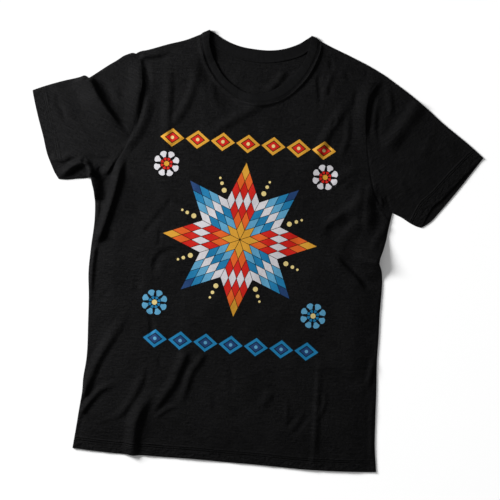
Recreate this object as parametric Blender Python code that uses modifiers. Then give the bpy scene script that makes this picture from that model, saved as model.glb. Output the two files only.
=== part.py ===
"""A short-sleeved crew-neck T-shirt of thin knitted cotton, laid on its back with its printed front up.

Metres, +Z up. The back of the shirt lies flat on z = 0, x = 0 is the garment's centre line, and +Y runs
from the hem to the neck. Left and right are the wearer's, so the right sleeve lies towards -X.
Every piece of cloth is a grid placed by a function of two parameters, u across and v along, and is then
thickened with Solidify. The solids are plain: they have the true outline, layers, openings and main folds.
"""

import math

import bmesh
import bpy
import numpy as np

# Driving dimensions of the garment.
CLOTH = 0.0010  # thickness of one layer of knit
GAP = 0.0003  # between pieces that touch
LOFT = 0.0095  # height of the middle of the front layer over the floor
ROUND = 0.0095  # how far in from a folded edge the front layer reaches its full height
SEAM_GAP = 0.0010  # in plan, between pieces that are sewn edge to edge
HEM_DEPTH = 0.020
CUFF_DEPTH = 0.020
TAPE_WIDTH = 0.010
RIB_THICKNESS = 0.0016  # the neck rib is folded double
INK = 0.0003  # thickness of a printed film

# The outline as the shirt lies, in plan. Each list is a run of points that a smooth curve follows.
# The two guides are no edge: they run up the panels to the corners of the neck, and columns follow them.
HEM = [(-0.257, -0.357), (-0.150, -0.360), (-0.028, -0.3585), (0.150, -0.359), (0.259, -0.353)]
RIGHT_SIDE = [
    (-0.257, -0.357),
    (-0.251, -0.285),
    (-0.247, -0.208),
    (-0.251, -0.110),
    (-0.2555, -0.040),
    (-0.253, 0.034),
    (-0.258, 0.079),
    (-0.262, 0.102),
]
LEFT_SIDE = [
    (0.259, -0.353),
    (0.252, -0.272),
    (0.2448, -0.165),
    (0.243, -0.060),
    (0.2340, 0.002),
    (0.2410, 0.040),
    (0.2477, 0.089),
]
RIGHT_ARMHOLE = [
    (-0.262, 0.102),
    (-0.228, 0.127),
    (-0.208, 0.166),
    (-0.197, 0.215),
    (-0.194, 0.270),
    (-0.209, 0.3205),
]
LEFT_ARMHOLE = [
    (0.2477, 0.089),
    (0.220, 0.107),
    (0.204, 0.158),
    (0.194, 0.212),
    (0.193, 0.262),
    (0.2163, 0.3176),
]
RIGHT_GUIDE = [(-0.172, -0.359), (-0.172, 0.000), (-0.160, 0.200), (-0.130, 0.310), (-0.104, 0.3600)]
LEFT_GUIDE = [(0.175, -0.359), (0.172, 0.000), (0.160, 0.200), (0.130, 0.314), (0.102, 0.3660)]
RIGHT_SHOULDER = [(-0.209, 0.3205), (-0.157, 0.338), (-0.104, 0.3600)]
LEFT_SHOULDER = [(0.102, 0.3660), (0.154, 0.344), (0.2163, 0.3176)]
FRONT_NECK = [
    (-0.104, 0.3600),
    (-0.096, 0.325),
    (-0.065, 0.283),
    (-0.020, 0.2575),
    (0.034, 0.2575),
    (0.077, 0.290),
    (0.098, 0.333),
    (0.102, 0.3660),
]
BACK_NECK = [(-0.104, 0.3600), (-0.060, 0.3370), (0.005, 0.3270), (0.060, 0.3370), (0.102, 0.3660)]
RIB_FRONT_EDGE = [
    (-0.087, 0.3690),
    (-0.079, 0.327),
    (-0.050, 0.289),
    (-0.008, 0.2735),
    (0.040, 0.2865),
    (0.075, 0.319),
    (0.086, 0.3740),
]
RIB_BACK_EDGE = [(-0.087, 0.3690), (-0.050, 0.3525), (0.010, 0.3450), (0.058, 0.3555), (0.086, 0.3740)]
RIGHT_SLEEVE_TOP = [(-0.209, 0.3205), (-0.254, 0.294), (-0.289, 0.2735), (-0.330, 0.262), (-0.3775, 0.243)]
RIGHT_SLEEVE_UNDER = [(-0.262, 0.102), (-0.281, 0.103), (-0.301, 0.1005), (-0.321, 0.0995)]
RIGHT_CUFF = [(-0.3775, 0.243), (-0.359, 0.191), (-0.337, 0.131), (-0.321, 0.0995)]
LEFT_SLEEVE_TOP = [(0.2163, 0.3176), (0.267, 0.285), (0.312, 0.2515), (0.3933, 0.1965)]
LEFT_SLEEVE_UNDER = [(0.2477, 0.089), (0.269, 0.0815), (0.296, 0.068)]
LEFT_CUFF = [(0.3933, 0.1965), (0.368, 0.157), (0.333, 0.110), (0.310, 0.079), (0.296, 0.068)]

# The main folds: (run of points, height, width on the left of the run, width on its right).
FOLDS = [
    ([(-0.284, 0.268), (-0.262, 0.222), (-0.226, 0.160)], 0.0080, 0.014, 0.030),
    ([(-0.212, 0.312), (-0.204, 0.270), (-0.208, 0.215), (-0.224, 0.170)], 0.0075, 0.013, 0.030),
    ([(-0.154, -0.362), (-0.150, -0.290), (-0.138, -0.245), (-0.118, -0.212)], 0.0075, 0.018, 0.013),
    ([(-0.240, -0.200), (-0.215, -0.140), (-0.185, -0.085)], 0.0055, 0.018, 0.014),
    ([(0.178, 0.300), (0.180, 0.250), (0.183, 0.190)], 0.0060, 0.022, 0.013),
    ([(0.232, 0.215), (0.262, 0.262), (0.285, 0.258)], 0.0050, 0.020, 0.018),
]

# The printed pattern: a quilter's star, a band of diamonds above and below it, and a rosette at each corner.
PRINT_X = -0.005
STAR_Y = 0.018
STAR_POINTS = 8
STAR_RADIUS = 0.132
STAR_NOTCH = STAR_RADIUS / (2 * math.cos(math.pi / STAR_POINTS))  # each point is a rhombus from the centre
ROSETTE_X = 0.135
ROSETTE_Y = 0.118  # above and below the star's middle
ROSETTE_RADIUS = 0.022
ROSETTE_PETALS = 8
UPPER_BAND_Y = 0.181
LOWER_BAND_Y = -0.161
BAND_DIAMOND = (0.0215, 0.0165)  # half width and half height
BAND_DIAMONDS = 7
BAND_WAIST = 0.2  # share of a diamond's half height where it runs into the next one

CURVE_STEPS = 240  # points on a curve that heights are measured from
ARMHOLE_STEPS = 14  # shared by a sleeve and both panels, so that their seams keep their gap
FRONT_NECK_STEPS = 22  # shared by the front panel and the neck rib
BACK_NECK_STEPS = 14  # shared by the back panel and the neck rib
SLEEVE_ROWS = 14


def smooth_curve(points, steps):
    """steps + 1 points, evenly spaced along a Catmull-Rom curve through the given points."""
    given = np.array(points, float)
    ends = [2 * given[0] - given[1], 2 * given[-1] - given[-2]]
    knots = np.vstack([ends[0], given, ends[1]])
    t = np.linspace(0, 1, 40, endpoint=False)[:, None]
    runs = []
    for before, start, end, after in zip(knots, knots[1:], knots[2:], knots[3:]):
        bend = 2 * before - 5 * start + 4 * end - after
        twist = 3 * start - before - 3 * end + after
        runs.append(start + 0.5 * t * (end - before) + 0.5 * t**2 * bend + 0.5 * t**3 * twist)
    line = np.vstack([*runs, given[-1:]])
    along = np.concatenate([[0], np.cumsum(np.linalg.norm(np.diff(line, axis=0), axis=1))])
    at = np.linspace(0, along[-1], steps + 1)
    return np.stack([np.interp(at, along, line[:, k]) for k in range(line.shape[1])], axis=1)


def curve_at(curve, share):
    """Points on a sampled curve at these shares of its length."""
    at = np.asarray(share) * (len(curve) - 1)
    return np.stack([np.interp(at, np.arange(len(curve)), curve[:, k]) for k in range(2)], axis=-1)


def length_share(line):
    """How far along a run of points each of them is, from 0 to 1."""
    along = np.concatenate([[0], np.cumsum(np.linalg.norm(np.diff(line, axis=0), axis=1))])
    return along / along[-1]


def spaced(curve, steps, fold_first=False, fold_last=False):
    """steps + 1 points on a curve, even but for three close together at an end that lies on a folded edge."""
    length = np.linalg.norm(np.diff(curve, axis=0), axis=1).sum()
    near = np.array([0, 0.15, 0.5, 1]) * ROUND / length
    first = near[:3] if fold_first else []
    last = 1 - near[2::-1] if fold_last else []
    low, high = (near[3] if fold_first else 0), (1 - near[3] if fold_last else 1)
    even = np.linspace(low, high, steps - len(first) - len(last) + 1)
    return curve_at(curve, np.concatenate([first, even, last]))


def chained(*runs):
    """Runs of points, each starting where the last ended, as one."""
    return np.vstack([runs[0], *(run[1:] for run in runs[1:])])


def beside(curve, distance):
    """The same curve moved sideways by this distance, to the left of its direction."""
    heading = np.gradient(curve, axis=0)
    heading /= np.linalg.norm(heading, axis=1)[:, None]
    return curve + distance * np.stack([-heading[:, 1], heading[:, 0]], axis=1)


def patch(bottom, top, left, right):
    """A Coons patch between four runs of points, each with one point for every column or row of the grid."""
    across = (length_share(bottom) + length_share(top)) / 2
    along = (length_share(left) + length_share(right)) / 2

    def place(u, v):
        s = np.interp(u, np.linspace(0, 1, len(across)), across)[..., None]
        t = np.interp(v, np.linspace(0, 1, len(along)), along)[..., None]
        sides = (1 - s) * curve_at(left, v) + s * curve_at(right, v)
        ends = (1 - t) * curve_at(bottom, u) + t * curve_at(top, u)
        low = (1 - s) * bottom[0] + s * bottom[-1]
        high = (1 - s) * top[0] + s * top[-1]
        return sides + ends - (1 - t) * low - t * high

    return place


SIDES = {
    name: smooth_curve(points, CURVE_STEPS)
    for name, points in {
        "hem": HEM,
        "right_side": RIGHT_SIDE,
        "left_side": LEFT_SIDE,
        "right_armhole": RIGHT_ARMHOLE,
        "left_armhole": LEFT_ARMHOLE,
        "right_shoulder": RIGHT_SHOULDER,
        "left_shoulder": LEFT_SHOULDER,
        "front_neck": FRONT_NECK,
        "back_neck": BACK_NECK,
        "right_top": RIGHT_SLEEVE_TOP,
        "right_under": RIGHT_SLEEVE_UNDER,
        "right_cuff": RIGHT_CUFF,
        "left_top": LEFT_SLEEVE_TOP,
        "left_under": LEFT_SLEEVE_UNDER,
        "left_cuff": LEFT_CUFF,
    }.items()
}
FOLDED_EDGES = np.vstack(
    [
        SIDES[name]
        for name in (
            "right_side",
            "left_side",
            "right_shoulder",
            "left_shoulder",
            "right_top",
            "right_under",
            "left_top",
            "left_under",
        )
    ]
)
RIM = CLOTH + GAP  # where the front layer's edge stands on the back layer


def distance_to(plan, line):
    """How far each point in plan is from the nearest point of a line."""
    flat = plan.reshape(-1, 2)
    apart = np.linalg.norm(flat[:, None, :] - line[None, :, :], axis=2)
    return apart.min(axis=1).reshape(plan.shape[:-1])


def fold_height(plan):
    """The main folds: each is a ridge along its run, with its own width on each side, fading at its end."""
    flat = plan.reshape(-1, 2)
    height = np.zeros(len(flat))
    for points, tall, wide_left, wide_right in FOLDS:
        run = smooth_curve(points, 60)
        apart = flat[:, None, :] - run[None, :, :]
        nearest = np.linalg.norm(apart, axis=2).argmin(axis=1)
        offset = apart[np.arange(len(flat)), nearest]
        heading = np.gradient(run, axis=0)[nearest]
        on_left = heading[:, 0] * offset[:, 1] - heading[:, 1] * offset[:, 0] > 0
        width = np.where(on_left, wide_left, wide_right)
        ridge = np.exp(-((np.linalg.norm(offset, axis=1) / width) ** 2))
        fade = np.clip(3 * (1 - nearest / 60), 0, 1)
        height = np.maximum(height, tall * ridge * fade)
    return height.reshape(plan.shape[:-1])


def upper_height(plan):
    """Height of the middle of the front layer: a quarter round up from each folded edge, plus the folds."""
    share = np.clip(distance_to(plan, FOLDED_EDGES) / ROUND, 0, 1)
    rise = np.sqrt(1 - (1 - share) ** 2)
    return RIM + (LOFT - RIM) * rise + fold_height(plan) * share


def finish(obj, material):
    """Links the object to the shirt's collection, with its material and smooth faces."""
    shirt.objects.link(obj)
    obj.data.materials.append(material)
    if obj.type == "MESH":
        obj.data.shade_smooth()
        obj.data.set_sharp_from_angle(angle=math.radians(40))
    return obj


def cloth(name, columns, rows, place, material, thickness=CLOTH, closed=False):
    """A piece of cloth: a grid whose points are placed by place(u, v), thickened about its middle."""
    bm = bmesh.new()
    bmesh.ops.create_grid(bm, x_segments=columns, y_segments=rows, size=0.5)
    share = np.array([vertex.co[:2] for vertex in bm.verts]) + 0.5
    points = place(share[:, 0], share[:, 1])
    for vertex, point in zip(bm.verts, points):
        vertex.co = point
    if closed:
        bmesh.ops.remove_doubles(bm, verts=bm.verts, dist=1e-6)
    mesh = bpy.data.meshes.new(name)
    bm.to_mesh(mesh)
    bm.free()
    obj = finish(bpy.data.objects.new(name, mesh), material)
    solidify = obj.modifiers.new("Thickness", "SOLIDIFY")
    solidify.thickness = thickness
    solidify.offset = 0
    return obj


def knit(name, colour, roughness):
    """A plain material for one kind of cloth or ink."""
    material = bpy.data.materials.new(name)
    material.use_nodes = True
    shader = material.node_tree.nodes["Principled BSDF"]
    shader.inputs["Base Color"].default_value = (*colour, 1)
    shader.inputs["Roughness"].default_value = roughness
    shader.inputs["Metallic"].default_value = 0
    return material


def at_height(plan, height):
    """Plan points with a height, as points in space."""
    return np.concatenate([plan, np.broadcast_to(height, plan.shape[:-1])[..., None]], axis=-1)


def make_panels(jersey):
    """The front and back of the body, from the hem to the shoulders, and their turned-up hems."""

    def edge(side, side_steps):
        armhole = spaced(SIDES[side + "_armhole"], ARMHOLE_STEPS, fold_first=True, fold_last=True)
        return chained(spaced(SIDES[side + "_side"], side_steps), armhole)

    def plan_of(neck, neck_steps, shoulder_steps, side_steps):
        """Three patches side by side: the neck's own, between the two guide lines, and one to each side of it."""
        edges = [edge("right", side_steps), edge("left", side_steps)]
        guides = [
            curve_at(smooth_curve(points, CURVE_STEPS), length_share(line))
            for points, line in zip((RIGHT_GUIDE, LEFT_GUIDE), edges)
        ]
        feet = [np.argmin(np.abs(SIDES["hem"][:, 0] - guide[0, 0])) for guide in guides]
        for foot, guide in zip(feet, guides):
            guide[0] = SIDES["hem"][foot]
        right_hem, middle_hem, left_hem = np.split(SIDES["hem"], feet)
        right_hem = np.vstack([right_hem, middle_hem[:1]])
        middle_hem = np.vstack([middle_hem, left_hem[:1]])
        patches = [
            patch(
                spaced(right_hem, shoulder_steps, fold_first=True),
                spaced(SIDES["right_shoulder"], shoulder_steps, fold_first=True),
                edges[0],
                guides[0],
            ),
            patch(spaced(middle_hem, neck_steps), spaced(SIDES[neck], neck_steps), *guides),
            patch(
                spaced(left_hem, shoulder_steps, fold_last=True),
                spaced(SIDES["left_shoulder"], shoulder_steps, fold_last=True),
                guides[1],
                edges[1],
            ),
        ]
        columns = neck_steps + 2 * shoulder_steps
        seams = np.array([0, shoulder_steps, shoulder_steps + neck_steps, columns]) / columns

        def place(u, v):
            plan = patches[0](np.clip(u / seams[1], 0, 1), v)
            for start, end, part in zip(seams[1:], seams[2:], patches[1:]):
                inside = np.clip((u - start) / (end - start), 0, 1)
                plan = np.where((u > start + 1e-6)[:, None], part(inside, v), plan)
            return plan

        return columns, side_steps + ARMHOLE_STEPS, place

    columns, rows, front_plan = plan_of("front_neck", FRONT_NECK_STEPS, 9, 18)

    def place_front(u, v):
        plan = front_plan(u, v)
        return at_height(plan, upper_height(plan))

    def place_front_fold(u, v):
        """The turned-up hem, parallel to the lowest row of the front and just under it."""
        u = (3 + (columns - 6) * u) / columns
        hem, next_row = place_front(u, 0 * v), place_front(u, 0 * v + 1 / rows)
        below = np.array([0, 0, CLOTH + 2 * GAP])
        return hem + (0.04 + 0.80 * v)[:, None] * (next_row - hem) - below

    cloth("front_panel", columns, rows, place_front, jersey)
    cloth("front_hem_fold", columns - 6, 1, place_front_fold, jersey, thickness=CLOTH * 0.8)
    columns, rows, back_plan = plan_of("back_neck", BACK_NECK_STEPS, 6, 8)
    cloth("back_panel", columns, rows, lambda u, v: at_height(back_plan(u, v), CLOTH / 2), jersey)

    def place_back_fold(u, v):
        """The turned-up hem of the back, on top of it."""
        hem = curve_at(SIDES["hem"], 0.04 + 0.92 * u)
        return at_height(hem + np.stack([0 * v, 0.001 + HEM_DEPTH * v], axis=-1), CLOTH * 1.5 + GAP)

    cloth("back_hem_fold", columns, 1, place_back_fold, jersey)


def make_sleeves(jersey):
    """Each sleeve is a tube sewn under the arm, and its cuff is turned in by the depth of the hem."""
    for side, outward in (("right", -1), ("left", 1)):
        armhole = spaced(SIDES[side + "_armhole"], ARMHOLE_STEPS, fold_first=True, fold_last=True)
        seam = beside(armhole, -outward * SEAM_GAP)[::-1]
        cuff = spaced(SIDES[side + "_cuff"], ARMHOLE_STEPS, fold_first=True, fold_last=True)
        top = spaced(SIDES[side + "_top"], SLEEVE_ROWS)
        under = spaced(SIDES[side + "_under"], SLEEVE_ROWS)
        top[0], under[0] = seam[0], seam[-1]
        plan_of = patch(seam, cuff, top, under)

        def place(u, v, shrink=0.0, start=0.0, end=1.0, inset=0.0):
            """u runs over the upper layer and back under it, and v from the armhole to the cuff."""
            on_top = u <= 0.5
            across = np.where(on_top, 2 * u, 2 - 2 * u)
            fold = (across < 1e-6) | (across > 1 - 1e-6)
            plan = plan_of(shrink + across * (1 - 2 * shrink), start + v * (end - start))
            low = CLOTH / 2 + inset
            upper = np.maximum(upper_height(plan) - inset, low)
            return at_height(plan, np.where(on_top & ~fold, upper, low))

        def place_fold(u, v):
            return place(u, v, shrink=0.075, start=0.88, end=0.995, inset=CLOTH + GAP)

        columns = 2 * ARMHOLE_STEPS
        cloth(side + "_sleeve", columns, SLEEVE_ROWS, place, jersey, closed=True)
        cloth(side + "_cuff_fold", columns, 2, place_fold, jersey, thickness=CLOTH * 0.8, closed=True)


def make_neck(rib, jersey):
    """The ribbed neck band, one ring folded double, and the tape over the seam inside the back neck."""
    front_share = FRONT_NECK_STEPS / (FRONT_NECK_STEPS + BACK_NECK_STEPS)

    def ring(front, back, gap):
        """Along the front from the right tip to the left one, and home along the back, above both seams."""
        front_run = beside(spaced(smooth_curve(front, CURVE_STEPS), FRONT_NECK_STEPS), gap)
        back_run = beside(spaced(smooth_curve(back, CURVE_STEPS), BACK_NECK_STEPS), gap)[::-1]
        for tip in (0, -1):
            front_run[tip] = (front_run[tip] + back_run[-1 - tip]) / 2
            back_run[-1 - tip] = front_run[tip]
        return chained(front_run, back_run)

    around = ring(FRONT_NECK, BACK_NECK, 0)
    seam = ring(FRONT_NECK, BACK_NECK, SEAM_GAP)
    free = ring(RIB_FRONT_EDGE, RIB_BACK_EDGE, 0)

    def place(u, v):
        outer, inner = curve_at(seam, u), curve_at(free, u)
        across = v[:, None]
        low = RIB_THICKNESS / 2
        level = np.where(u < front_share, np.maximum(upper_height(curve_at(around, u)), low), low)
        at_tip = np.abs(u[:, None] - [0, front_share, 1]).min(axis=1) < 1e-6
        level = np.where(at_tip, 2 * RIB_THICKNESS, level)
        return at_height(outer + across * (inner - outer), level)

    columns = 2 * (FRONT_NECK_STEPS + BACK_NECK_STEPS)
    cloth("neck_rib", columns, 3, place, rib, thickness=RIB_THICKNESS, closed=True)

    def place_tape(u, v):
        along = curve_at(SIDES["back_neck"], 0.13 + 0.74 * u)
        plan = along - np.stack([0 * v, 0.0015 + TAPE_WIDTH * v], axis=-1)
        return at_height(plan, CLOTH * 1.25 + GAP)

    cloth("back_neck_tape", 24, 1, place_tape, jersey, thickness=CLOTH / 2)


def film(name, outline, material):
    """A printed film: a flat closed outline, extruded to its thickness, on the front of the shirt."""
    data = bpy.data.curves.new(name, "CURVE")
    data.dimensions = "2D"
    data.fill_mode = "BOTH"
    data.extrude = INK / 2
    spline = data.splines.new("POLY")
    spline.points.add(len(outline) - 1)
    for point, (x, y) in zip(spline.points, outline):
        point.co = (x, y, 0, 1)
    spline.use_cyclic_u = True
    obj = finish(bpy.data.objects.new(name, data), material)
    obj.location.z = LOFT + CLOTH / 2 + GAP + INK / 2
    return obj


def star_outline():
    """Tips and notches in turn."""
    turn = np.arange(2 * STAR_POINTS) * math.pi / STAR_POINTS
    reach = np.where(np.arange(2 * STAR_POINTS) % 2 == 0, STAR_RADIUS, STAR_NOTCH)
    return np.stack([PRINT_X + reach * np.cos(turn), STAR_Y + reach * np.sin(turn)], axis=1)


def rosette_outline(x, y):
    """A round outline with rounded petals."""
    turn = np.linspace(0, 2 * math.pi, 8 * ROSETTE_PETALS, endpoint=False)
    reach = ROSETTE_RADIUS * (0.75 + 0.25 * np.abs(np.cos(ROSETTE_PETALS / 2 * turn)))
    return np.stack([x + reach * np.cos(turn), y + reach * np.sin(turn)], axis=1)


def band_outline(y):
    """A row of diamonds that run into each other at their side corners."""
    half, tall = BAND_DIAMOND
    steps = np.arange(2 * BAND_DIAMONDS + 1)
    x = PRINT_X + (steps - BAND_DIAMONDS) * half
    rise = np.where(steps % 2 == 1, tall, tall * BAND_WAIST)
    upper = np.stack([x, y + rise], axis=1)
    lower = np.stack([x, y - rise], axis=1)[::-1]
    return np.vstack([upper, lower])


def make_print(red, gold, navy, pale, blue):
    """The pattern on the chest, as one film for each group of shapes that touch."""
    film("print_star", star_outline(), red)
    film("print_upper_band", band_outline(UPPER_BAND_Y), gold)
    film("print_lower_band", band_outline(LOWER_BAND_Y), navy)
    for side, x in (("right", -ROSETTE_X), ("left", ROSETTE_X)):
        film("print_upper_rosette_" + side, rosette_outline(PRINT_X + x, STAR_Y + ROSETTE_Y), pale)
        film("print_lower_rosette_" + side, rosette_outline(PRINT_X + x, STAR_Y - ROSETTE_Y), blue)


for old in list(bpy.data.objects):
    bpy.data.objects.remove(old, do_unlink=True)

shirt = bpy.data.collections.new("t_shirt")
bpy.context.scene.collection.children.link(shirt)

black_jersey = knit("black_jersey", (0.012, 0.012, 0.012), 0.9)
black_rib = knit("black_rib", (0.013, 0.013, 0.013), 0.9)
red_ink = knit("red_ink", (0.58, 0.02, 0.01), 0.5)
gold_ink = knit("gold_ink", (0.75, 0.42, 0.05), 0.5)
navy_ink = knit("navy_ink", (0.02, 0.06, 0.20), 0.5)
pale_ink = knit("pale_ink", (0.75, 0.72, 0.82), 0.5)
blue_ink = knit("blue_ink", (0.02, 0.25, 0.55), 0.5)

make_panels(black_jersey)
make_sleeves(black_jersey)
make_neck(black_rib, black_jersey)
make_print(red_ink, gold_ink, navy_ink, pale_ink, blue_ink)
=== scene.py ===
import math

import bpy
import numpy as np
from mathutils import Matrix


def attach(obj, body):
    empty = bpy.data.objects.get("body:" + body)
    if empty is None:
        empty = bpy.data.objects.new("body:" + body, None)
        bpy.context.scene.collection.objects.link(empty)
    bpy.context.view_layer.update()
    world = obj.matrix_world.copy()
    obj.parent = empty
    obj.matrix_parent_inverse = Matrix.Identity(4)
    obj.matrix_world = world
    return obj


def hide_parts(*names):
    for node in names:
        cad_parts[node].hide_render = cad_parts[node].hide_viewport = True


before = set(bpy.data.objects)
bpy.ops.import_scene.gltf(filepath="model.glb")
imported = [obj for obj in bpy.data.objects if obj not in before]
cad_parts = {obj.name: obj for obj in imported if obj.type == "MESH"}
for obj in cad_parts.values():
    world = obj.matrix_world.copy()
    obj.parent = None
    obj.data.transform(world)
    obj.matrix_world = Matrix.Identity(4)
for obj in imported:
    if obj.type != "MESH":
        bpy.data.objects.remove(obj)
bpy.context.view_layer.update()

# The camera looks straight down from three metres, over the middle of the photograph's view, which is
# 85 cm wide and turned by five degrees against the shirt.
VIEW_MIDDLE = (0.0137, 0.0022)
VIEW_WIDE = 0.850
CAMERA_HEIGHT = 3.0
camera_data = bpy.data.cameras.new("camera")
camera_data.lens = camera_data.sensor_width * CAMERA_HEIGHT / VIEW_WIDE
camera = bpy.data.objects.new("camera", camera_data)
camera.location = (*VIEW_MIDDLE, CAMERA_HEIGHT)
camera.rotation_euler = (0, 0, math.radians(5))
bpy.context.scene.collection.objects.link(camera)
bpy.context.scene.camera = camera

# Front panel: thin black cotton jersey, cut from one piece and sewn at the shoulders, armholes, sides and
# neck. It lies loosely on the back panel, in the folds that it was laid down with. Points are millimetres in
# plan, x from the middle of the shirt and y towards the neck, as they lie in the photograph.
HEM = [
    (-257.5, -358.5), (-219, -360.3), (-175, -361.2), (-165, -361.2), (-154, -362.4), (-142, -360.9),
    (-110, -360.4), (-41, -359.4), (10, -359.9), (45, -359.7), (148, -360.6), (181, -359.7), (247, -355.6),
    (260, -354.5),
]
RIGHT_SIDE = [
    (-257.5, -358.5), (-254.5, -323), (-252, -290), (-249.5, -262), (-249.8, -240), (-247.3, -208),
    (-250, -140), (-252.5, -99), (-256.5, -59), (-256, -18), (-254, 33), (-256, 62), (-258.5, 78),
    (-262.5, 90), (-266, 102),
]
LEFT_SIDE = [
    (260, -354.5), (254, -311), (251.5, -273), (248.6, -219), (245, -165), (244.3, -124), (242.8, -83),
    (242.8, -47), (242.1, -30), (239.8, -16), (236.5, -7.5), (234.2, -2), (234.5, 4), (239, 21), (242.8, 39),
    (244.9, 56), (249.3, 86),
]
RIGHT_ARMHOLE = [
    (-266, 102), (-250, 103), (-239, 109), (-232, 118.5), (-226, 130.5), (-219, 144.5), (-209.5, 166),
    (-201, 190), (-197, 215), (-195, 241), (-194.5, 272), (-200.5, 302), (-208.5, 317.8),
]
LEFT_ARMHOLE = [
    (249.3, 86), (233, 95), (221, 107), (208, 142), (201, 172), (195, 210), (192, 253), (198, 296),
    (216.3, 317.6),
]
RIGHT_SHOULDER = [
    (-208.5, 317.8), (-203, 321.5), (-189, 326), (-157, 338), (-120, 351), (-112, 355), (-100, 361),
]
LEFT_SHOULDER = [(99, 368), (109, 363.2), (154, 345.4), (189, 331), (216.3, 317.6)]
FRONT_NECK = [
    (-100, 361), (-96.9, 343), (-92.2, 330), (-87.2, 317.5), (-82.2, 308), (-73.7, 296), (-64.2, 284.5),
    (-46.5, 270.5), (-22, 256.5), (5, 252.5), (27, 257), (41, 263), (58.1, 275.5), (69.7, 288.5),
    (79.8, 302), (89.3, 320.5), (94.9, 335), (98.6, 348), (99, 368),
]
BACK_NECK = [(-100, 361), (-60, 334), (10, 322), (48, 329.5), (75, 341.5), (99, 368)]
RIGHT_GUIDE = [(-172, -360.8), (-172, 0), (-160, 200), (-130, 310), (-100, 361)]
LEFT_GUIDE = [(175, -359.9), (172, 0), (160, 200), (130, 314), (99, 368)]
RIGHT_TOP = [
    (-208.5, 317.8), (-213.5, 318.8), (-221, 316.3), (-228, 312.8), (-240, 303.5), (-253, 294.3),
    (-266, 284.2), (-279, 274), (-283.5, 270.5), (-285, 269.3), (-287, 270.8), (-289, 272.8), (-292, 273.4),
    (-299, 270.5), (-328, 261), (-362, 248), (-377.5, 241),
]
RIGHT_UNDER = [(-266, 102), (-276, 99.5), (-292, 97), (-309, 94), (-320, 94)]
LEFT_TOP = [(216.3, 317.6), (267.5, 285.5), (299, 263), (312, 252.5), (375.5, 207.8), (395, 192.8)]
LEFT_UNDER = [(249.3, 86), (256, 83), (264, 80), (282, 70.5), (292, 66.5), (299.5, 65)]
CLOTH_LOW = 0.0005  # height of the back panel, and of the folded edges where both panels meet
EDGE_ROLL = 0.0032  # height that a folded edge rises to at once
EDGE_ROUND = 0.0036  # radius of the round that it rises in
EDGE_EASE = 0.045  # how far in from there the cloth reaches its loft
LOFT = 0.0075  # height of the middle of the front panel
OPEN_LOFT = 0.0032  # its height at the hem and the right cuff
OPEN_EASE = 0.07  # how far in from an open edge the cloth reaches its loft
FOLD_EASE = 0.0065  # how far in from a folded edge a fold stands at its full height
VALLEY = 0.0065  # depth of a valley that takes 63% of the height, so that none reaches the floor
LEAST_SHARE = 0.6  # of the smooth height that the cloth keeps beside a ridge or wave
NECK_RIDGE = (0.0015, 0.0050, 0.0023)  # ridge beside the neck seam: height, distance from it, half width
SEAM_DIP = 0.0008  # how deep a seam pulls the cloth in
NECK_DIP_HALF = 0.0010  # half width of the dip at the neck
ARMHOLE_DIP_HALF = 0.0018
SIDE_ROWS = 216  # of the panels' grids
ARMHOLE_ROWS = 114
SHOULDER_COLUMNS = 48
NECK_COLUMNS = 164
FOLD_STEPS = 24  # along the run of a fold
EDGE_STEPS = 49  # along an edge that distances are measured from

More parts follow.
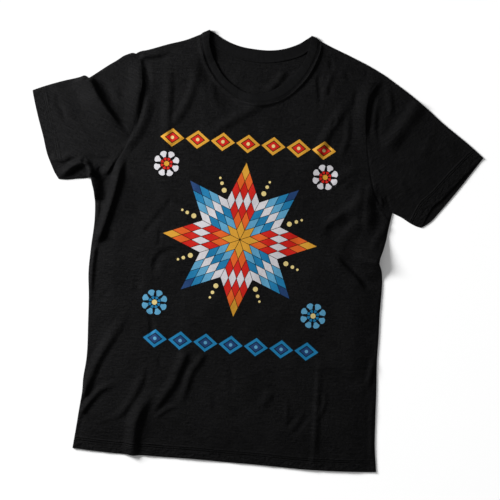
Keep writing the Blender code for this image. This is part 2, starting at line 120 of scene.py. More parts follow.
# Folds: run of points, height in millimetres (a valley's is negative), how far it reaches to the left and the
# right of the run, and the share of the run over which it fades in and out.
FOLDS = [
    # lower right of the shirt, drawn up from the hem
    ([(-183, -93), (-186, -113), (-194, -139), (-208, -166), (-221, -191), (-231, -214), (-239, -240),
      (-245, -258), (-250, -272)], 6.2, 12, 15, 0.65, 0.06),
    ([(-184, -239), (-205, -248), (-220, -257), (-231, -271), (-241, -286),
      (-248, -299)], 4.6, 9, 9, 0.5, 0.06),
    ([(-149, -203), (-151, -229), (-158, -252), (-166, -271), (-179, -290), (-197, -306),
      (-209, -318)], 2.9, 10, 12, 0.35, 0.4),
    ([(-141, -206), (-142, -232), (-147, -253)], -0.9, 7, 6, 0.35, 0.35),
    ([(-102, -237), (-123, -253), (-139, -269), (-147, -282), (-153, -302), (-156, -327), (-156, -345),
      (-154, -366), (-151, -388)], 9.6, 14, 19, 0.5, 0.3),
    ([(-78, -173), (-85, -198), (-90, -212), (-95, -230), (-105, -249), (-116, -266), (-127, -285),
      (-132, -297)], 5.2, 11, 15, 0.14, 0.3),
    ([(-46, -174), (-56, -193), (-67, -211), (-72, -228), (-76, -246), (-81, -265),
      (-82, -279)], 3.6, 10, 10, 0.15, 0.4),
    ([(-80, -269), (-102, -278), (-114, -288), (-126, -300)], 2.2, 7, 8, 0.3, 0.3),
    ([(-147, -113), (-142, -134), (-141, -165)], -2.4, 8, 7, 0.3, 0.4),
    ([(-125, -189), (-119, -211)], -1.2, 6, 6, 0.4, 0.4),
    ([(-2, -187), (2, -217), (5, -251)], -1.2, 9, 9, 0.3, 0.4),
    ([(-32, -241), (-15, -280)], -1.0, 9, 9, 0.4, 0.4),
    ([(-221, -320), (-204, -314), (-185, -302)], -1.2, 7, 7, 0.4, 0.4),
    ([(-243, -300), (-248, -319), (-250, -340)], -2.4, 6, 5, 0.2, 0.3),
    # lower left
    ([(147, -160), (147, -194), (148, -228), (149, -259), (150, -293), (151, -327),
      (153, -378)], 3.2, 11, 7, 0.35, 0.4),
    ([(156, -221), (162, -241), (159, -260), (153, -277)], 1.8, 7, 6, 0.35, 0.35),
    ([(71, -228), (64, -246), (52, -266)], 2.2, 12, 13, 0.4, 0.35),
    ([(97, -243), (100, -267), (100, -287)], 1.5, 6, 6, 0.4, 0.4),
    ([(117, -267), (109, -283), (101, -297)], -1.7, 8, 7, 0.35, 0.35),
    ([(137, -260), (131, -278), (120, -296), (106, -311)], -1.8, 9, 8, 0.3, 0.35),
    ([(151, -184), (169, -193), (194, -204), (227, -214)], -3.6, 13, 15, 0.3, 0.3),
    ([(241, -157), (238, -176), (235, -197), (232, -216)], 2.6, 9, 9, 0.35, 0.3),
    ([(194, -67), (196, -135), (197, -204)], 1.2, 26, 30, 0.4, 0.4),
    ([(242, -230), (246, -285), (252, -361)], 1.2, 7, 7, 0.3, 0.3),
    ([(238, -219), (225, -227)], -1.2, 6, 6, 0.4, 0.4),
    # under the right arm
    ([(-213, 150), (-216, 131), (-219, 112), (-223, 87), (-230, 53), (-238, 20), (-244, -1),
      (-250, -9)], 10.2, 10, 14, 0.3, 0.12),
    ([(-222, 151), (-229, 135), (-234, 122), (-241, 110), (-249, 99)], 5.0, 6, 14, 0.7, 0.2),
    ([(-244, 116), (-243, 96), (-245, 77)], -4.0, 7, 9, 0.2, 0.35),
    ([(-250, 68), (-250, 47), (-250, 27)], 2.6, 5, 5, 0.25, 0.3),
    ([(-249, -9), (-250, -28), (-251, -48), (-251, -72), (-250, -96), (-248, -123)], 4.8, 8, 5, 0.12, 0.6),
    ([(-133, 64), (-147, 44), (-162, 23), (-178, 6)], -1.6, 9, 8, 0.3, 0.4),
    ([(-126, 79), (-135, 61)], -1.5, 8, 8, 0.4, 0.4),
    ([(-139, 30), (-141, 9), (-140, -8)], -1.6, 6, 5, 0.35, 0.35),
    ([(-105, -11), (-130, -15), (-141, -26), (-144, -40), (-143, -58)], -3.0, 10, 9, 0.25, 0.3),
    ([(-215, -76), (-224, -92), (-234, -113)], -1.2, 8, 8, 0.4, 0.4),
    ([(-173, -48), (-171, -74), (-177, -100)], -1.6, 12, 10, 0.4, 0.4),
    # under the left arm
    ([(193, 161), (172, 147), (151, 132), (130, 118)], 2.2, 12, 16, 0.3, 0.35),
    ([(189, 144), (170, 128), (154, 113)], 1.0, 6, 7, 0.4, 0.4),
    ([(202, 131), (194, 110), (185, 92), (169, 77), (150, 64), (133, 42)], 5.2, 24, 15, 0.25, 0.3),
    ([(184, 82), (167, 65), (151, 50), (144, 29)], -4.2, 16, 14, 0.3, 0.3),
    ([(209, 144), (207, 121), (206, 101), (206, 77), (209, 57), (216, 40)], 2.7, 17, 10, 0.25, 0.25),
    ([(216, 109), (223, 92), (227, 77), (224, 56)], -2.0, 11, 13, 0.3, 0.3),
    ([(204, 87), (189, 64), (173, 40), (156, 16)], 2.6, 20, 11, 0.3, 0.25),
    ([(219, 107), (226, 92), (239, 75), (245, 69)], 1.3, 4, 4, 0.2, 0.1),
    ([(244, 67), (232, 49), (224, 33), (219, 13)], 2.4, 13, 11, 0.15, 0.3),
    ([(150, 21), (166, 11), (184, 3), (206, -8), (222, -21)], 2.2, 9, 6, 0.25, 0.35),
    ([(152, 6), (170, -9), (187, -23), (201, -38), (211, -52)], 2.8, 9, 24, 0.3, 0.3),
    ([(164, 5), (182, -9), (199, -23), (213, -38), (224, -58)], -3.0, 10, 8, 0.2, 0.3),
    ([(184, 7), (203, 2), (220, -1), (238, -2)], 3.6, 18, 7, 0.5, 0.02),
    ([(199, -7), (218, -13), (242, -15)], -3.0, 7, 7, 0.4, 0.05),
    ([(224, 113), (229, 101), (228, 91)], 1.8, 5, 5, 0.3, 0.3),
    ([(236, 119), (240, 102), (247, 91)], -1.6, 5, 5, 0.3, 0.3),
    # round the neck
    ([(-38, 259), (-20, 254), (-5, 251), (12, 251), (29, 257), (50, 269), (69, 286), (86, 307), (97, 334),
      (101, 361)], 2.6, 40, 8, 0.2, 0.05),
    ([(-96, 358), (-95, 334), (-88, 312), (-74, 291), (-53, 272), (-27, 258)], 1.0, 16, 10, 0.02, 0.3),
    ([(-85, 331), (-77, 312), (-63, 292), (-44, 275), (-25, 263), (-5, 258)], -11.0, 24, 40, 0.3, 0.35),
    ([(-93, 368), (-90, 348), (-84, 325)], 3.6, 30, 14, 0.01, 0.6),
    # chest and shoulders
    ([(19, 254), (3, 244), (-18, 231), (-44, 214), (-65, 198), (-81, 185)], 3.6, 13, 13, 0.2, 0.4),
    ([(-102, 327), (-102, 306), (-105, 285), (-109, 264), (-116, 240), (-126, 219), (-143, 195),
      (-152, 179)], 3.2, 13, 11, 0.5, 0.35),
    ([(-152, 312), (-148, 282), (-146, 253), (-146, 224), (-145, 197), (-139, 134)], 3.4, 11, 15, 0.3, 0.5),
    ([(-79, 298), (-73, 268), (-64, 231)], 1.0, 9, 9, 0.35, 0.4),
    ([(164, 271), (149, 252), (139, 232), (127, 210), (118, 189), (112, 168),
      (107, 140)], 3.8, 13, 14, 0.3, 0.35),
    ([(140, 238), (133, 221)], -1.4, 6, 6, 0.35, 0.35),
    ([(140, 194), (126, 179)], -2.2, 7, 7, 0.35, 0.35),
    ([(160, 251), (161, 227), (161, 206), (156, 185), (150, 163)], 2.2, 10, 9, 0.3, 0.35),
    ([(170, 289), (170, 272), (169, 251)], -1.5, 9, 8, 0.35, 0.4),
    ([(216, 320), (208, 307), (197, 291), (191, 272), (189, 251), (190, 226), (195, 202),
      (201, 177)], 6.4, 7, 24, 0.3, 0.5),
    ([(121, 341), (126, 316)], -2.2, 7, 7, 0.35, 0.35),
    ([(111, 318), (105, 297), (109, 277), (110, 250)], -2.2, 7, 7, 0.3, 0.4),
    ([(129, 319), (120, 293), (115, 267)], 1.8, 9, 8, 0.3, 0.4),
    ([(127, 292), (125, 271)], -1.0, 7, 7, 0.35, 0.35),
    ([(150, 321), (157, 298)], -1.4, 9, 9, 0.35, 0.35),
    ([(184, 331), (186, 307)], -1.6, 5, 5, 0.35, 0.35),
    ([(-201, 314), (-186, 317), (-169, 321), (-146, 326)], 4.8, 10, 8, 0.12, 0.55),
    ([(-199, 304), (-184, 307), (-167, 311), (-147, 317)], -4.5, 8, 8, 0.1, 0.5),
    ([(-105, 183), (-124, 173), (-140, 161)], -1.3, 7, 6, 0.3, 0.4),
    # along the right armhole
    ([(-204, 318), (-200, 301), (-196, 282), (-194, 264), (-196, 245), (-197, 228), (-199, 209),
      (-201, 190), (-204, 174), (-209, 158)], 6.8, 7, 26, 0.28, 0.6),
    ([(-194, 312), (-187, 292), (-181, 272), (-181, 250)], -3.5, 9, 6, 0.05, 0.5),
    ([(-186, 297), (-179, 275), (-177, 255)], 1.4, 8, 8, 0.35, 0.35),
    ([(-177, 262), (-180, 243), (-182, 224), (-186, 205), (-193, 186), (-202, 170), (-211, 157),
      (-217, 148)], 4.0, 15, 9, 0.3, 0.2),
    # along the left armhole
    ([(211, 286), (206, 268), (204, 248), (204, 227), (206, 208)], 1.6, 9, 5, 0.3, 0.35),
    ([(213, 259), (212, 241), (213, 223), (217, 204), (223, 189)], -1.2, 9, 6, 0.3, 0.35),
    ([(219, 303), (227, 280), (230, 257), (225, 236)], 2.2, 9, 9, 0.3, 0.4),
    ([(223, 306), (233, 301), (246, 294)], -2.0, 6, 6, 0.3, 0.35),
    # right sleeve
    ([(-291, 276), (-280, 261), (-268, 242), (-256, 226), (-244, 212), (-230, 196), (-219, 182),
      (-205, 161)], 12.0, 9, 34, 0.02, 0.55),
    ([(-273, 274), (-259, 256), (-246, 239), (-232, 221)], -9.5, 14, 9, 0.02, 0.85),
    ([(-335, 245), (-333, 224), (-323, 205), (-315, 185)], -2.6, 8, 6, 0.3, 0.4),
    ([(-340, 127), (-326, 126), (-315, 127), (-305, 133), (-288, 137)], 3.4, 14, 6, 0.2, 0.5),
    ([(-319, 135), (-317, 130)], -1.6, 3, 3, 0.3, 0.3),
    ([(-278, 134), (-254, 134), (-227, 135)], -1.6, 5, 5, 0.3, 0.3),
    ([(-324, 97), (-311, 106), (-300, 116), (-289, 123), (-277, 128)], 9.4, 11, 10, 0.35, 0.15),
    ([(-299, 99), (-289, 111), (-280, 119)], -4.0, 8, 8, 0.25, 0.3),
    ([(-283, 128), (-275, 123), (-269, 114), (-266, 102)], 8.6, 10, 6, 0.25, 0.1),
    ([(-254, 122), (-249, 113), (-246, 102)], -7.0, 8, 9, 0.25, 0.2),
    ([(-254, 121), (-247, 116), (-242, 106)], 3.0, 4, 5, 0.3, 0.3),
    ([(-231, 261), (-222, 234)], -1.4, 9, 9, 0.4, 0.4),
    ([(-329, 250), (-312, 251)], -1.2, 5, 5, 0.4, 0.4),
    # left sleeve
    ([(281, 283), (266, 256), (251, 231), (237, 208), (223, 184)], 6.0, 22, 16, 0.1, 0.3),
    ([(307, 236), (299, 208), (285, 180)], 1.2, 12, 14, 0.4, 0.4),
    ([(262, 150), (276, 128), (291, 107)], -1.0, 9, 9, 0.4, 0.4),
]

# Stretches of the sides that stand off the table with both layers, in the folds' form.
LIFTS = [
    # the left side, below the arm
    ([(246, 53), (243, 39), (240, 25), (236, 13), (234, 1), (237, -11), (241, -22),
      (244, -31)], 16, 20, 50, 0.85, 0.45),
    # the right side: below the arm, at the long fold's end, and where two folds of the lower part reach it
    ([(-276, 120), (-268, 106), (-263, 91), (-260, 76), (-258, 60)], 13, 21, 6, 0.3, 0.2),
    ([(-234, 27), (-242, 4), (-247, -9), (-252, -18)], 1.6, 8, 14, 0.4, 0.15),
    ([(-236, -230), (-244, -254), (-249, -270), (-254, -282)], 1.6, 8, 12, 0.4, 0.1),
    ([(-224, -261), (-237, -278), (-245, -293), (-251, -308)], 1.2, 7, 9, 0.4, 0.1),
]


def reach_along(line):
    """How far along a line each of its points is, in metres."""
    return np.concatenate([[0], np.cumsum(np.linalg.norm(np.diff(line, axis=0), axis=1))])


def length_share(line):
    """The same from 0 to 1, as shares of the line's length."""
    reach = reach_along(line)
    return reach / reach[-1]


def at_share(line, share):
    """Points on a line at these shares of its length."""
    reach = reach_along(line)
    at = np.asarray(share) * reach[-1]
    return np.stack([np.interp(at, reach, line[:, k]) for k in range(line.shape[1])], axis=-1)


def evenly(line, steps):
    """steps + 1 even points on a line."""
    return at_share(line, np.linspace(0, 1, steps + 1))


def unit(vectors):
    """Each vector divided by its length."""
    return vectors / np.maximum(np.linalg.norm(vectors, axis=-1, keepdims=True), 1e-12)


CURVE_STEPS = 24  # on each stretch between two given points


def smooth_run(points, steps):
    """steps + 1 even points, in metres, on a curve through points in millimetres: on each stretch a cubic
    whose ends head the way of the stretches that meet there, the shorter counting for more."""
    given = np.array(points, float) / 1000
    chord = np.linalg.norm(np.diff(given, axis=0), axis=1)[:, None]
    slope = np.diff(given, axis=0) / chord
    inner = (chord[1:] * slope[:-1] + chord[:-1] * slope[1:]) / (chord[:-1] + chord[1:])
    heading = np.vstack([slope[:1], inner, slope[-1:]])
    t = np.linspace(0, 1, CURVE_STEPS, endpoint=False)[None, :, None]
    start, end = given[:-1, None], given[1:, None]
    leave, arrive = (heading[:-1] * chord)[:, None], (heading[1:] * chord)[:, None]
    curve = start * (2 * t**3 - 3 * t**2 + 1) + end * (3 * t**2 - 2 * t**3)
    curve = curve + leave * (t**3 - 2 * t**2 + t) + arrive * (t**3 - t**2)
    return evenly(np.vstack([curve.reshape(-1, 2), given[-1:]]), steps)


NEAR_EDGE = np.array([0, 0.0003, 0.0009, 0.0018, 0.0032])  # columns close to an edge, for its round


def crowded(line, steps, first=False, last=False, start=0.0, end=1.0):
    """steps + 1 points on a line, even but for four close to an end that lies on a folded edge or a seam."""
    length = reach_along(line)[-1] * (end - start)
    near = NEAR_EDGE / length
    low = near[:4] if first else []
    high = 1 - near[3::-1] if last else []
    even = np.linspace(near[4] if first else 0, 1 - near[4] if last else 1, steps + 1 - len(low) - len(high))
    return at_share(line, start + (end - start) * np.concatenate([low, even, high]))


def patch(bottom, top, left, right):
    """Plan points between four lines (a Coons patch): the way from side to side plus the way from bottom to
    top, less the flat sheet between the corners that both of them hold."""
    s = ((length_share(bottom) + length_share(top)) / 2)[None, :, None]
    t = ((length_share(left) + length_share(right)) / 2)[:, None, None]
    sides = (1 - s) * left[:, None] + s * right[:, None]
    ends = (1 - t) * bottom[None] + t * top[None]
    corners = (1 - t) * ((1 - s) * bottom[0] + s * bottom[-1]) + t * ((1 - s) * top[0] + s * top[-1])
    return sides + ends - corners


def off_line(plan, line):
    """For each plan point its distance from a line, whether it is on the line's left, and how far along its
    nearest point is: the foot on every stretch is found, and the nearest one is kept."""
    step = np.diff(line, axis=0)
    offset = plan[:, None] - line[:-1]
    share = np.clip((offset * step).sum(axis=2) / (step**2).sum(axis=1), 0, 1)
    foot = offset - share[..., None] * step
    apart = np.linalg.norm(foot, axis=2)
    best = apart.argmin(axis=1)
    row = np.arange(len(plan))
    left = step[best, 0] * offset[row, best, 1] - step[best, 1] * offset[row, best, 0] > 0
    return apart[row, best], left, (best + share[row, best]) / len(step)


def rounded(distance, radius):
    """A quarter round: 0 at the edge, upright there, and 1 from the radius on."""
    return np.sqrt(1 - (1 - np.clip(distance / radius, 0, 1)) ** 2)


def eased(distance, reach):
    """A smooth step from 0 to 1 over the reach."""
    t = np.clip(distance / reach, 0, 1)
    return t * t * (3 - 2 * t)


def bell(distance, half, power=2):
    """1 at no distance and 0.37 at the half width: e to the minus of their ratio to the power."""
    return np.exp(-((distance / half) ** power))


def fold_heights(plan, folds):
    """Rises and dips of the folds, in metres: each falls off to both sides of its run as half a cosine wave,
    and eases in and out along it."""
    rise = np.zeros(len(plan))
    dip = np.zeros(len(plan))
    for points, height, wide_left, wide_right, fade_in, fade_out in folds:
        run = smooth_run(points, FOLD_STEPS)
        reach = max(wide_left, wide_right) / 1000
        near = ((plan > run.min(axis=0) - reach) & (plan < run.max(axis=0) + reach)).all(axis=1)
        if not near.any():
            continue
        apart, left, share = off_line(plan[near], run)
        off = np.minimum(apart / np.where(left, wide_left, wide_right) * 1000, 1)
        wave = (0.5 + 0.5 * np.cos(math.pi * off)) * height / 1000
        wave = wave * eased(share, fade_in) * eased(1 - share, fade_out)
        (rise if height > 0 else dip)[near] += wave
    return rise, dip


CRUMPLE_SEED = 11
CRUMPLE_WAVES = 40
CRUMPLE_LENGTHS = (0.022, 0.150)  # of the shortest and the longest wave
CRUMPLE_RISE = 0.0016  # height of each as a share of its length
PUSH = 0.010  # how far the long waves push the plan about
PUSH_WAVES = (31, 27)  # their turns, in radians a metre


def crumple(plan):
    """Low uneven waves, as of cloth that was worn: plane waves in many directions, on a plan that is itself
    pushed about by long ones, each as high as a small share of its length."""
    source = np.random.default_rng(CRUMPLE_SEED)
    turn = source.uniform(0, 2 * math.pi, CRUMPLE_WAVES)
    phase = source.uniform(0, 2 * math.pi, CRUMPLE_WAVES)
    length = np.geomspace(*CRUMPLE_LENGTHS, CRUMPLE_WAVES)
    across, along = plan[:, 0] * PUSH_WAVES[1], plan[:, 1] * PUSH_WAVES[0]
    push = np.stack([np.sin(along + 1.0), np.sin(across + 2.0)], axis=1) * PUSH
    way = (plan + push) @ np.stack([np.cos(turn), np.sin(turn)])
    return (CRUMPLE_RISE * length * np.sin(2 * math.pi * way / length + phase)).sum(axis=1)


hem = smooth_run(HEM, 200)
right_side = smooth_run(RIGHT_SIDE, SIDE_ROWS)
left_side = smooth_run(LEFT_SIDE, SIDE_ROWS)
right_armhole = crowded(smooth_run(RIGHT_ARMHOLE, 120), ARMHOLE_ROWS, first=True, last=True)
left_armhole = crowded(smooth_run(LEFT_ARMHOLE, 120), ARMHOLE_ROWS, first=True, last=True)
right_shoulder = smooth_run(RIGHT_SHOULDER, 60)
left_shoulder = smooth_run(LEFT_SHOULDER, 60)
front_neck = smooth_run(FRONT_NECK, 160)
back_neck = smooth_run(BACK_NECK, 100)
right_top = smooth_run(RIGHT_TOP, 100)
right_under = smooth_run(RIGHT_UNDER, 40)
left_top = smooth_run(LEFT_TOP, 60)
left_under = smooth_run(LEFT_UNDER, 40)
FOLDED = [right_side, left_side, right_shoulder, left_shoulder, right_top, right_under, left_top, left_under]


def nearest(plan, lines):
    """Distance from each plan point to the nearest of some lines."""
    return np.min([off_line(plan, evenly(line, EDGE_STEPS))[0] for line in lines], axis=0)


def lifted(points):
    """How far both layers stand off the table."""
    return fold_heights(points.reshape(-1, 2), LIFTS)[0].reshape(points.shape[:-1])


def upper_height(points, open_edges=(hem,), open_loft=OPEN_LOFT):
    """Height of the front layer over the floor. A folded edge goes up in a small quarter round and eases on
    to the loft. A valley leaves a share of the height that is there, e to the minus of its depth over VALLEY,
    so it never reaches the floor, and ridges and waves stand on that."""
    plan = points.reshape(-1, 2)
    edge = nearest(plan, FOLDED)
    loft = open_loft + (LOFT - open_loft) * eased(nearest(plan, open_edges), OPEN_EASE)
    base = (EDGE_ROLL - CLOTH_LOW) * rounded(edge, EDGE_ROUND) + (loft - EDGE_ROLL) * eased(edge, EDGE_EASE)
    rise, dip = fold_heights(plan, FOLDS)
    from_seam = nearest(plan, [front_neck])
    ridge, ridge_at, ridge_half = NECK_RIDGE
    rise = rise + ridge * bell(from_seam - ridge_at, ridge_half, 4) + crumple(plan)
    dip = dip - SEAM_DIP * bell(from_seam, NECK_DIP_HALF)
    dip = dip - SEAM_DIP * bell(nearest(plan, [right_armhole, left_armhole]), ARMHOLE_DIP_HALF)
    smooth = base * np.exp(dip / VALLEY)
    height = np.maximum(smooth + rise * eased(edge, FOLD_EASE), LEAST_SHARE * smooth)
    return (CLOTH_LOW + height).reshape(points.shape[:-1]) + lifted(points)


def standing(plan, height):
    """Plan points with their height, as points in space."""
    return np.concatenate([plan, np.broadcast_to(height, plan.shape[:-1])[..., None]], axis=-1)


def panel_plan(neck, neck_columns):
    """Plan points of a panel: three patches side by side, the middle one between the guides to the neck."""
    sides = [np.vstack([right_side, right_armhole[1:]]), np.vstack([left_side, left_armhole[1:]])]
    feet = []
    guides = []
    for points, side in zip((RIGHT_GUIDE, LEFT_GUIDE), sides):
        feet.append(np.interp(points[0][0] / 1000, hem[:, 0], length_share(hem)))
        guides.append(at_share(smooth_run(points, 200), length_share(side)))
        guides[-1][0] = at_share(hem, feet[-1])
    bottoms = [
        crowded(hem, SHOULDER_COLUMNS, first=True, end=feet[0]),
        crowded(hem, neck_columns, start=feet[0], end=feet[1]),
        crowded(hem, SHOULDER_COLUMNS, last=True, start=feet[1]),
    ]
    tops = [
        crowded(right_shoulder, SHOULDER_COLUMNS, first=True),
        crowded(neck, neck_columns),
        crowded(left_shoulder, SHOULDER_COLUMNS, last=True),
    ]
    edges = [sides[0], guides[0], guides[1], sides[1]]
    parts = [patch(bottoms[k], tops[k], edges[k], edges[k + 1]) for k in range(3)]
    return np.hstack([parts[0], parts[1][:, 1:], parts[2][:, 1:]])


def outward(points, around=False):
    """The direction that a grid's surface faces, from its neighbours along and across."""
    along = np.gradient(points, axis=0)
    across = np.gradient(points, axis=1)
    if around:
        across = (np.roll(points, -1, axis=1) - np.roll(points, 1, axis=1)) / 2
    return unit(np.cross(across, along))


HEM_TURN = 0.0006  # radius of a turned edge
TURN_STEPS = 4


def turned_edge(points, facing):
    """Rows that take a cloth round its edge: half a circle, from the layer turned under up to the cloth."""
    ahead = unit(points[0] - points[1])
    turn = np.linspace(0, math.pi, TURN_STEPS + 1)[:0:-1, None, None]
    return points[0] + HEM_TURN * (np.sin(turn) * ahead - (1 - np.cos(turn)) * facing[0])


def add_piece(name, points, faces, material, node=None, uv=None):
    """A mesh as a piece of the shirt: its points and faces, its finish, the CAD node that it stands for, and
    for each corner of each face a point of the cloth's own flat plan, in metres, which carries the knit."""
    mesh = bpy.data.meshes.new(name)
    mesh.from_pydata(points.reshape(-1, 3), [], faces)
    if uv is not None:
        mesh.uv_layers.new(name="pattern").data.foreach_set("uv", uv.astype(np.float32).ravel())
    mesh.shade_smooth()
    mesh.materials.append(material)
    piece = bpy.data.objects.new(name, mesh)
    bpy.context.scene.collection.objects.link(piece)
    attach(piece, "root")
    if node:
        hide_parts(node)
    return piece


def grid_faces(rows, columns, around=False, ring=False, flip=False):
    """Each four neighbours of a grid as one face. around joins the last column to the first, and ring the
    last row to the first."""
    place = np.arange(rows * columns).reshape(rows, columns)
    place = np.pad(place, ((0, int(ring)), (0, int(around))), mode="wrap")
    four = np.stack([place[:-1, :-1], place[:-1, 1:], place[1:, 1:], place[1:, :-1]], axis=-1).reshape(-1, 4)
    return four[:, ::-1] if flip else four


def cloth_piece(name, node, points, pattern, slot="black_jersey", from_hem=None, firmly=1.0, **joins):
    """A grid of points as a piece of cloth. pattern is its flat plan, which may have a row and a column more
    where the grid is joined up. from_hem is each point's distance from the sewn edge, for the material."""
    faces = grid_faces(*points.shape[:2], **joins)
    corners = faces
    if pattern.shape[:2] != points.shape[:2]:
        corners = grid_faces(*pattern.shape[:2])
    uv = pattern.reshape(-1, 2)[corners.ravel()]
    piece = add_piece(name, points, faces, finishes[slot], node, uv)
    if from_hem is not None:
        for label, values in (("from_hem", from_hem), ("sewn_firmly", np.full(from_hem.size, firmly))):
            layer = piece.data.attributes.new(label, "FLOAT", "POINT")
            layer.data.foreach_set("value", values.astype(np.float32).ravel())
    return piece


finishes = {}


def finish(name, roughness, gloss=0.5):
    """A new material, kept by its name: gives its node tree and its shader."""
    material = finishes[name] = bpy.data.materials.new(name)
    material.use_nodes = True
    shader = material.node_tree.nodes["Principled BSDF"]
    shader.inputs["Roughness"].default_value = roughness
    shader.inputs["Specular IOR Level"].default_value = gloss
    return material.node_tree, shader


def math_node(tree, operation, *values, clamp=False):
    """A Math node whose inputs are numbers or other nodes' outputs."""
    node = tree.nodes.new("ShaderNodeMath")
    node.operation = operation
    node.use_clamp = clamp
    for socket, value in zip(node.inputs, values):
        if isinstance(value, (int, float)):
            socket.default_value = value
        else:
            tree.links.new(value, socket)
    return node.outputs[0]


WALE = 0.00095  # from one column of loops to the next
COURSE = 0.00075  # from one row of loops to the next
LEG_LEAN = 0.55  # how far a leg climbs from the wale's edge to its middle, in courses
LEG_ROUND = 0.7  # power that rounds a leg
GROOVE_STEEP = 3.0  # power that keeps the groove near the wale's edge


def knit_relief(tree, wale=WALE, course=COURSE):
    """Height of plain knit, 0 to 1: in each wale two rows of round legs climb to its middle like chevrons,
    with a groove between one wale and the next. Also gives the pattern's coordinates, and the one across."""
    pattern = tree.nodes.new("ShaderNodeUVMap")
    pattern.uv_map = "pattern"
    split = tree.nodes.new("ShaderNodeSeparateXYZ")
    tree.links.new(pattern.outputs["UV"], split.inputs[0])
    u, v, _ = split.outputs
    off_middle = math_node(tree, "DIVIDE", math_node(tree, "PINGPONG", u, wale / 2), wale / 2)
    climb = math_node(tree, "MULTIPLY_ADD", off_middle, LEG_LEAN, math_node(tree, "DIVIDE", v, course))
    leg = math_node(tree, "MULTIPLY", math_node(tree, "PINGPONG", climb, 0.5), 2.0)
    groove = math_node(tree, "SUBTRACT", 1.0, math_node(tree, "POWER", off_middle, GROOVE_STEEP))
    relief = math_node(tree, "MULTIPLY", math_node(tree, "POWER", leg, LEG_ROUND), groove)
    return pattern.outputs["UV"], u, relief


def streaks(tree, uv, along, across, detail):
    """A noise with so many turns a metre along the wales' row and across it. With fewer along, it is drawn
    out along the courses, as short thick and thin lengths of yarn are."""
    mapping = tree.nodes.new("ShaderNodeMapping")
    mapping.inputs["Scale"].default_value = (along, across, 1)
    tree.links.new(uv, mapping.inputs["Vector"])
    noise = tree.nodes.new("ShaderNodeTexNoise")
    noise.inputs["Scale"].default_value = 1.0
    noise.inputs["Detail"].default_value = detail
    tree.links.new(mapping.outputs[0], noise.inputs["Vector"])
    return noise.outputs["Fac"]


def mixed(tree, factor, first, second):
    """A colour between two, by a factor."""
    mix = tree.nodes.new("ShaderNodeMix")
    mix.data_type = "RGBA"
    mix.inputs[6].default_value = (*first, 1)
    mix.inputs[7].default_value = (*second, 1)
    tree.links.new(factor, mix.inputs[0])
    return mix.outputs[2]


def bumped(tree, height, depth, under=None, strength=1.0):
    """A bump from a height of 0 to 1 that stands for depth in metres, over another bump if there is one."""
    bump = tree.nodes.new("ShaderNodeBump")
    bump.inputs["Strength"].default_value = strength
    bump.inputs["Distance"].default_value = depth
    tree.links.new(height, bump.inputs["Height"])
    if under is not None:
        tree.links.new(under, bump.inputs["Normal"])
    return bump.outputs[0]


def carried(tree, label):
    """A value that the cloth's points carry with them."""
    attribute = tree.nodes.new("ShaderNodeAttribute")
    attribute.attribute_name = label
    return attribute.outputs["Fac"]


HEM_STITCHES = (0.0140, 0.0175)  # from the edge of the hem or cuff
HEM_DOUBLE = 0.0215  # how far up the hem lies double
DOUBLE_EASE = 0.0018  # over which its thickness runs out
GROOVE_HALF = 0.0013  # half width of the groove that a row of stitches pulls
GROOVE_DEEP = 0.9  # its depth as a share of the thickness
SEWN_RISE = 0.0006  # of the cloth that lies double
PUCKER_RISE = 0.0013
SLUB_RISE = 0.0002
KNIT_RISE = 0.00022
PUCKER_SHARE = 3.0  # how much more the sewn cloth puckers


def sewn_relief(tree):
    """Height where the hem is sewn down, by the distance that the cloth carries with it: 1 where it lies
    double, down to 0 over the end of that, and less in a groove at each row of stitches."""
    distance = carried(tree, "from_hem")
    left_over = math_node(tree, "SUBTRACT", HEM_DOUBLE, distance)
    height = math_node(tree, "DIVIDE", left_over, DOUBLE_EASE, clamp=True)
    for stitch in HEM_STITCHES:
        off = math_node(tree, "ABSOLUTE", math_node(tree, "SUBTRACT", distance, stitch))
        groove = math_node(tree, "SUBTRACT", 1.0, math_node(tree, "DIVIDE", off, GROOVE_HALF), clamp=True)
        height = math_node(tree, "MULTIPLY_ADD", groove, -GROOVE_DEEP, height)
    return math_node(tree, "MULTIPLY", height, carried(tree, "sewn_firmly"))


# the jersey's finish: the knit's relief, slubs in the yarn, a paler worn bloom, painted light from the knit,
# and the sewn-down hem
JERSEY_DARK = (0.0008, 0.0008, 0.0009)
JERSEY_LIGHT = (0.0052, 0.0051, 0.0053)
SLUB_TONE, BLOOM_TONE, GRAIN_TONE, KNIT_PAINTED_SHADE = 1.8, 0.5, 2.0, 0.30
TONE_BASE = 1.92  # what their sum has to pass before the cloth is paler
tree, shader = finish("black_jersey", 0.75, 0.03)
uv, _, relief = knit_relief(tree)
slub = streaks(tree, uv, 38, 900, 2.0)
bloom = streaks(tree, uv, 14, 14, 4.0)
grain = streaks(tree, uv, 420, 760, 1.0)
pucker = streaks(tree, uv, 150, 210, 2.0)
tone_and_shade = math_node(tree, "MULTIPLY_ADD", slub, SLUB_TONE, math_node(tree, "MULTIPLY", bloom, BLOOM_TONE))
tone_and_shade = math_node(tree, "MULTIPLY_ADD", grain, GRAIN_TONE, tone_and_shade)
tone_and_shade = math_node(tree, "SUBTRACT", tone_and_shade, TONE_BASE)
# painted light: paler on the knit's raised loops as painted highlight and darker in its grooves as painted
# shade, by the same relief as its bump
tone_and_shade = math_node(tree, "MULTIPLY_ADD", relief, KNIT_PAINTED_SHADE, tone_and_shade, clamp=True)
tree.links.new(mixed(tree, tone_and_shade, JERSEY_DARK, JERSEY_LIGHT), shader.inputs["Base Color"])
normal = bumped(tree, slub, SLUB_RISE)
normal = bumped(tree, relief, KNIT_RISE, normal)
normal = bumped(tree, pucker, PUCKER_RISE, normal)
sewn = sewn_relief(tree)
sewn = math_node(tree, "MULTIPLY_ADD", math_node(tree, "MULTIPLY", sewn, pucker), PUCKER_SHARE, sewn)
tree.links.new(bumped(tree, sewn, SEWN_RISE, normal), shader.inputs["Normal"])

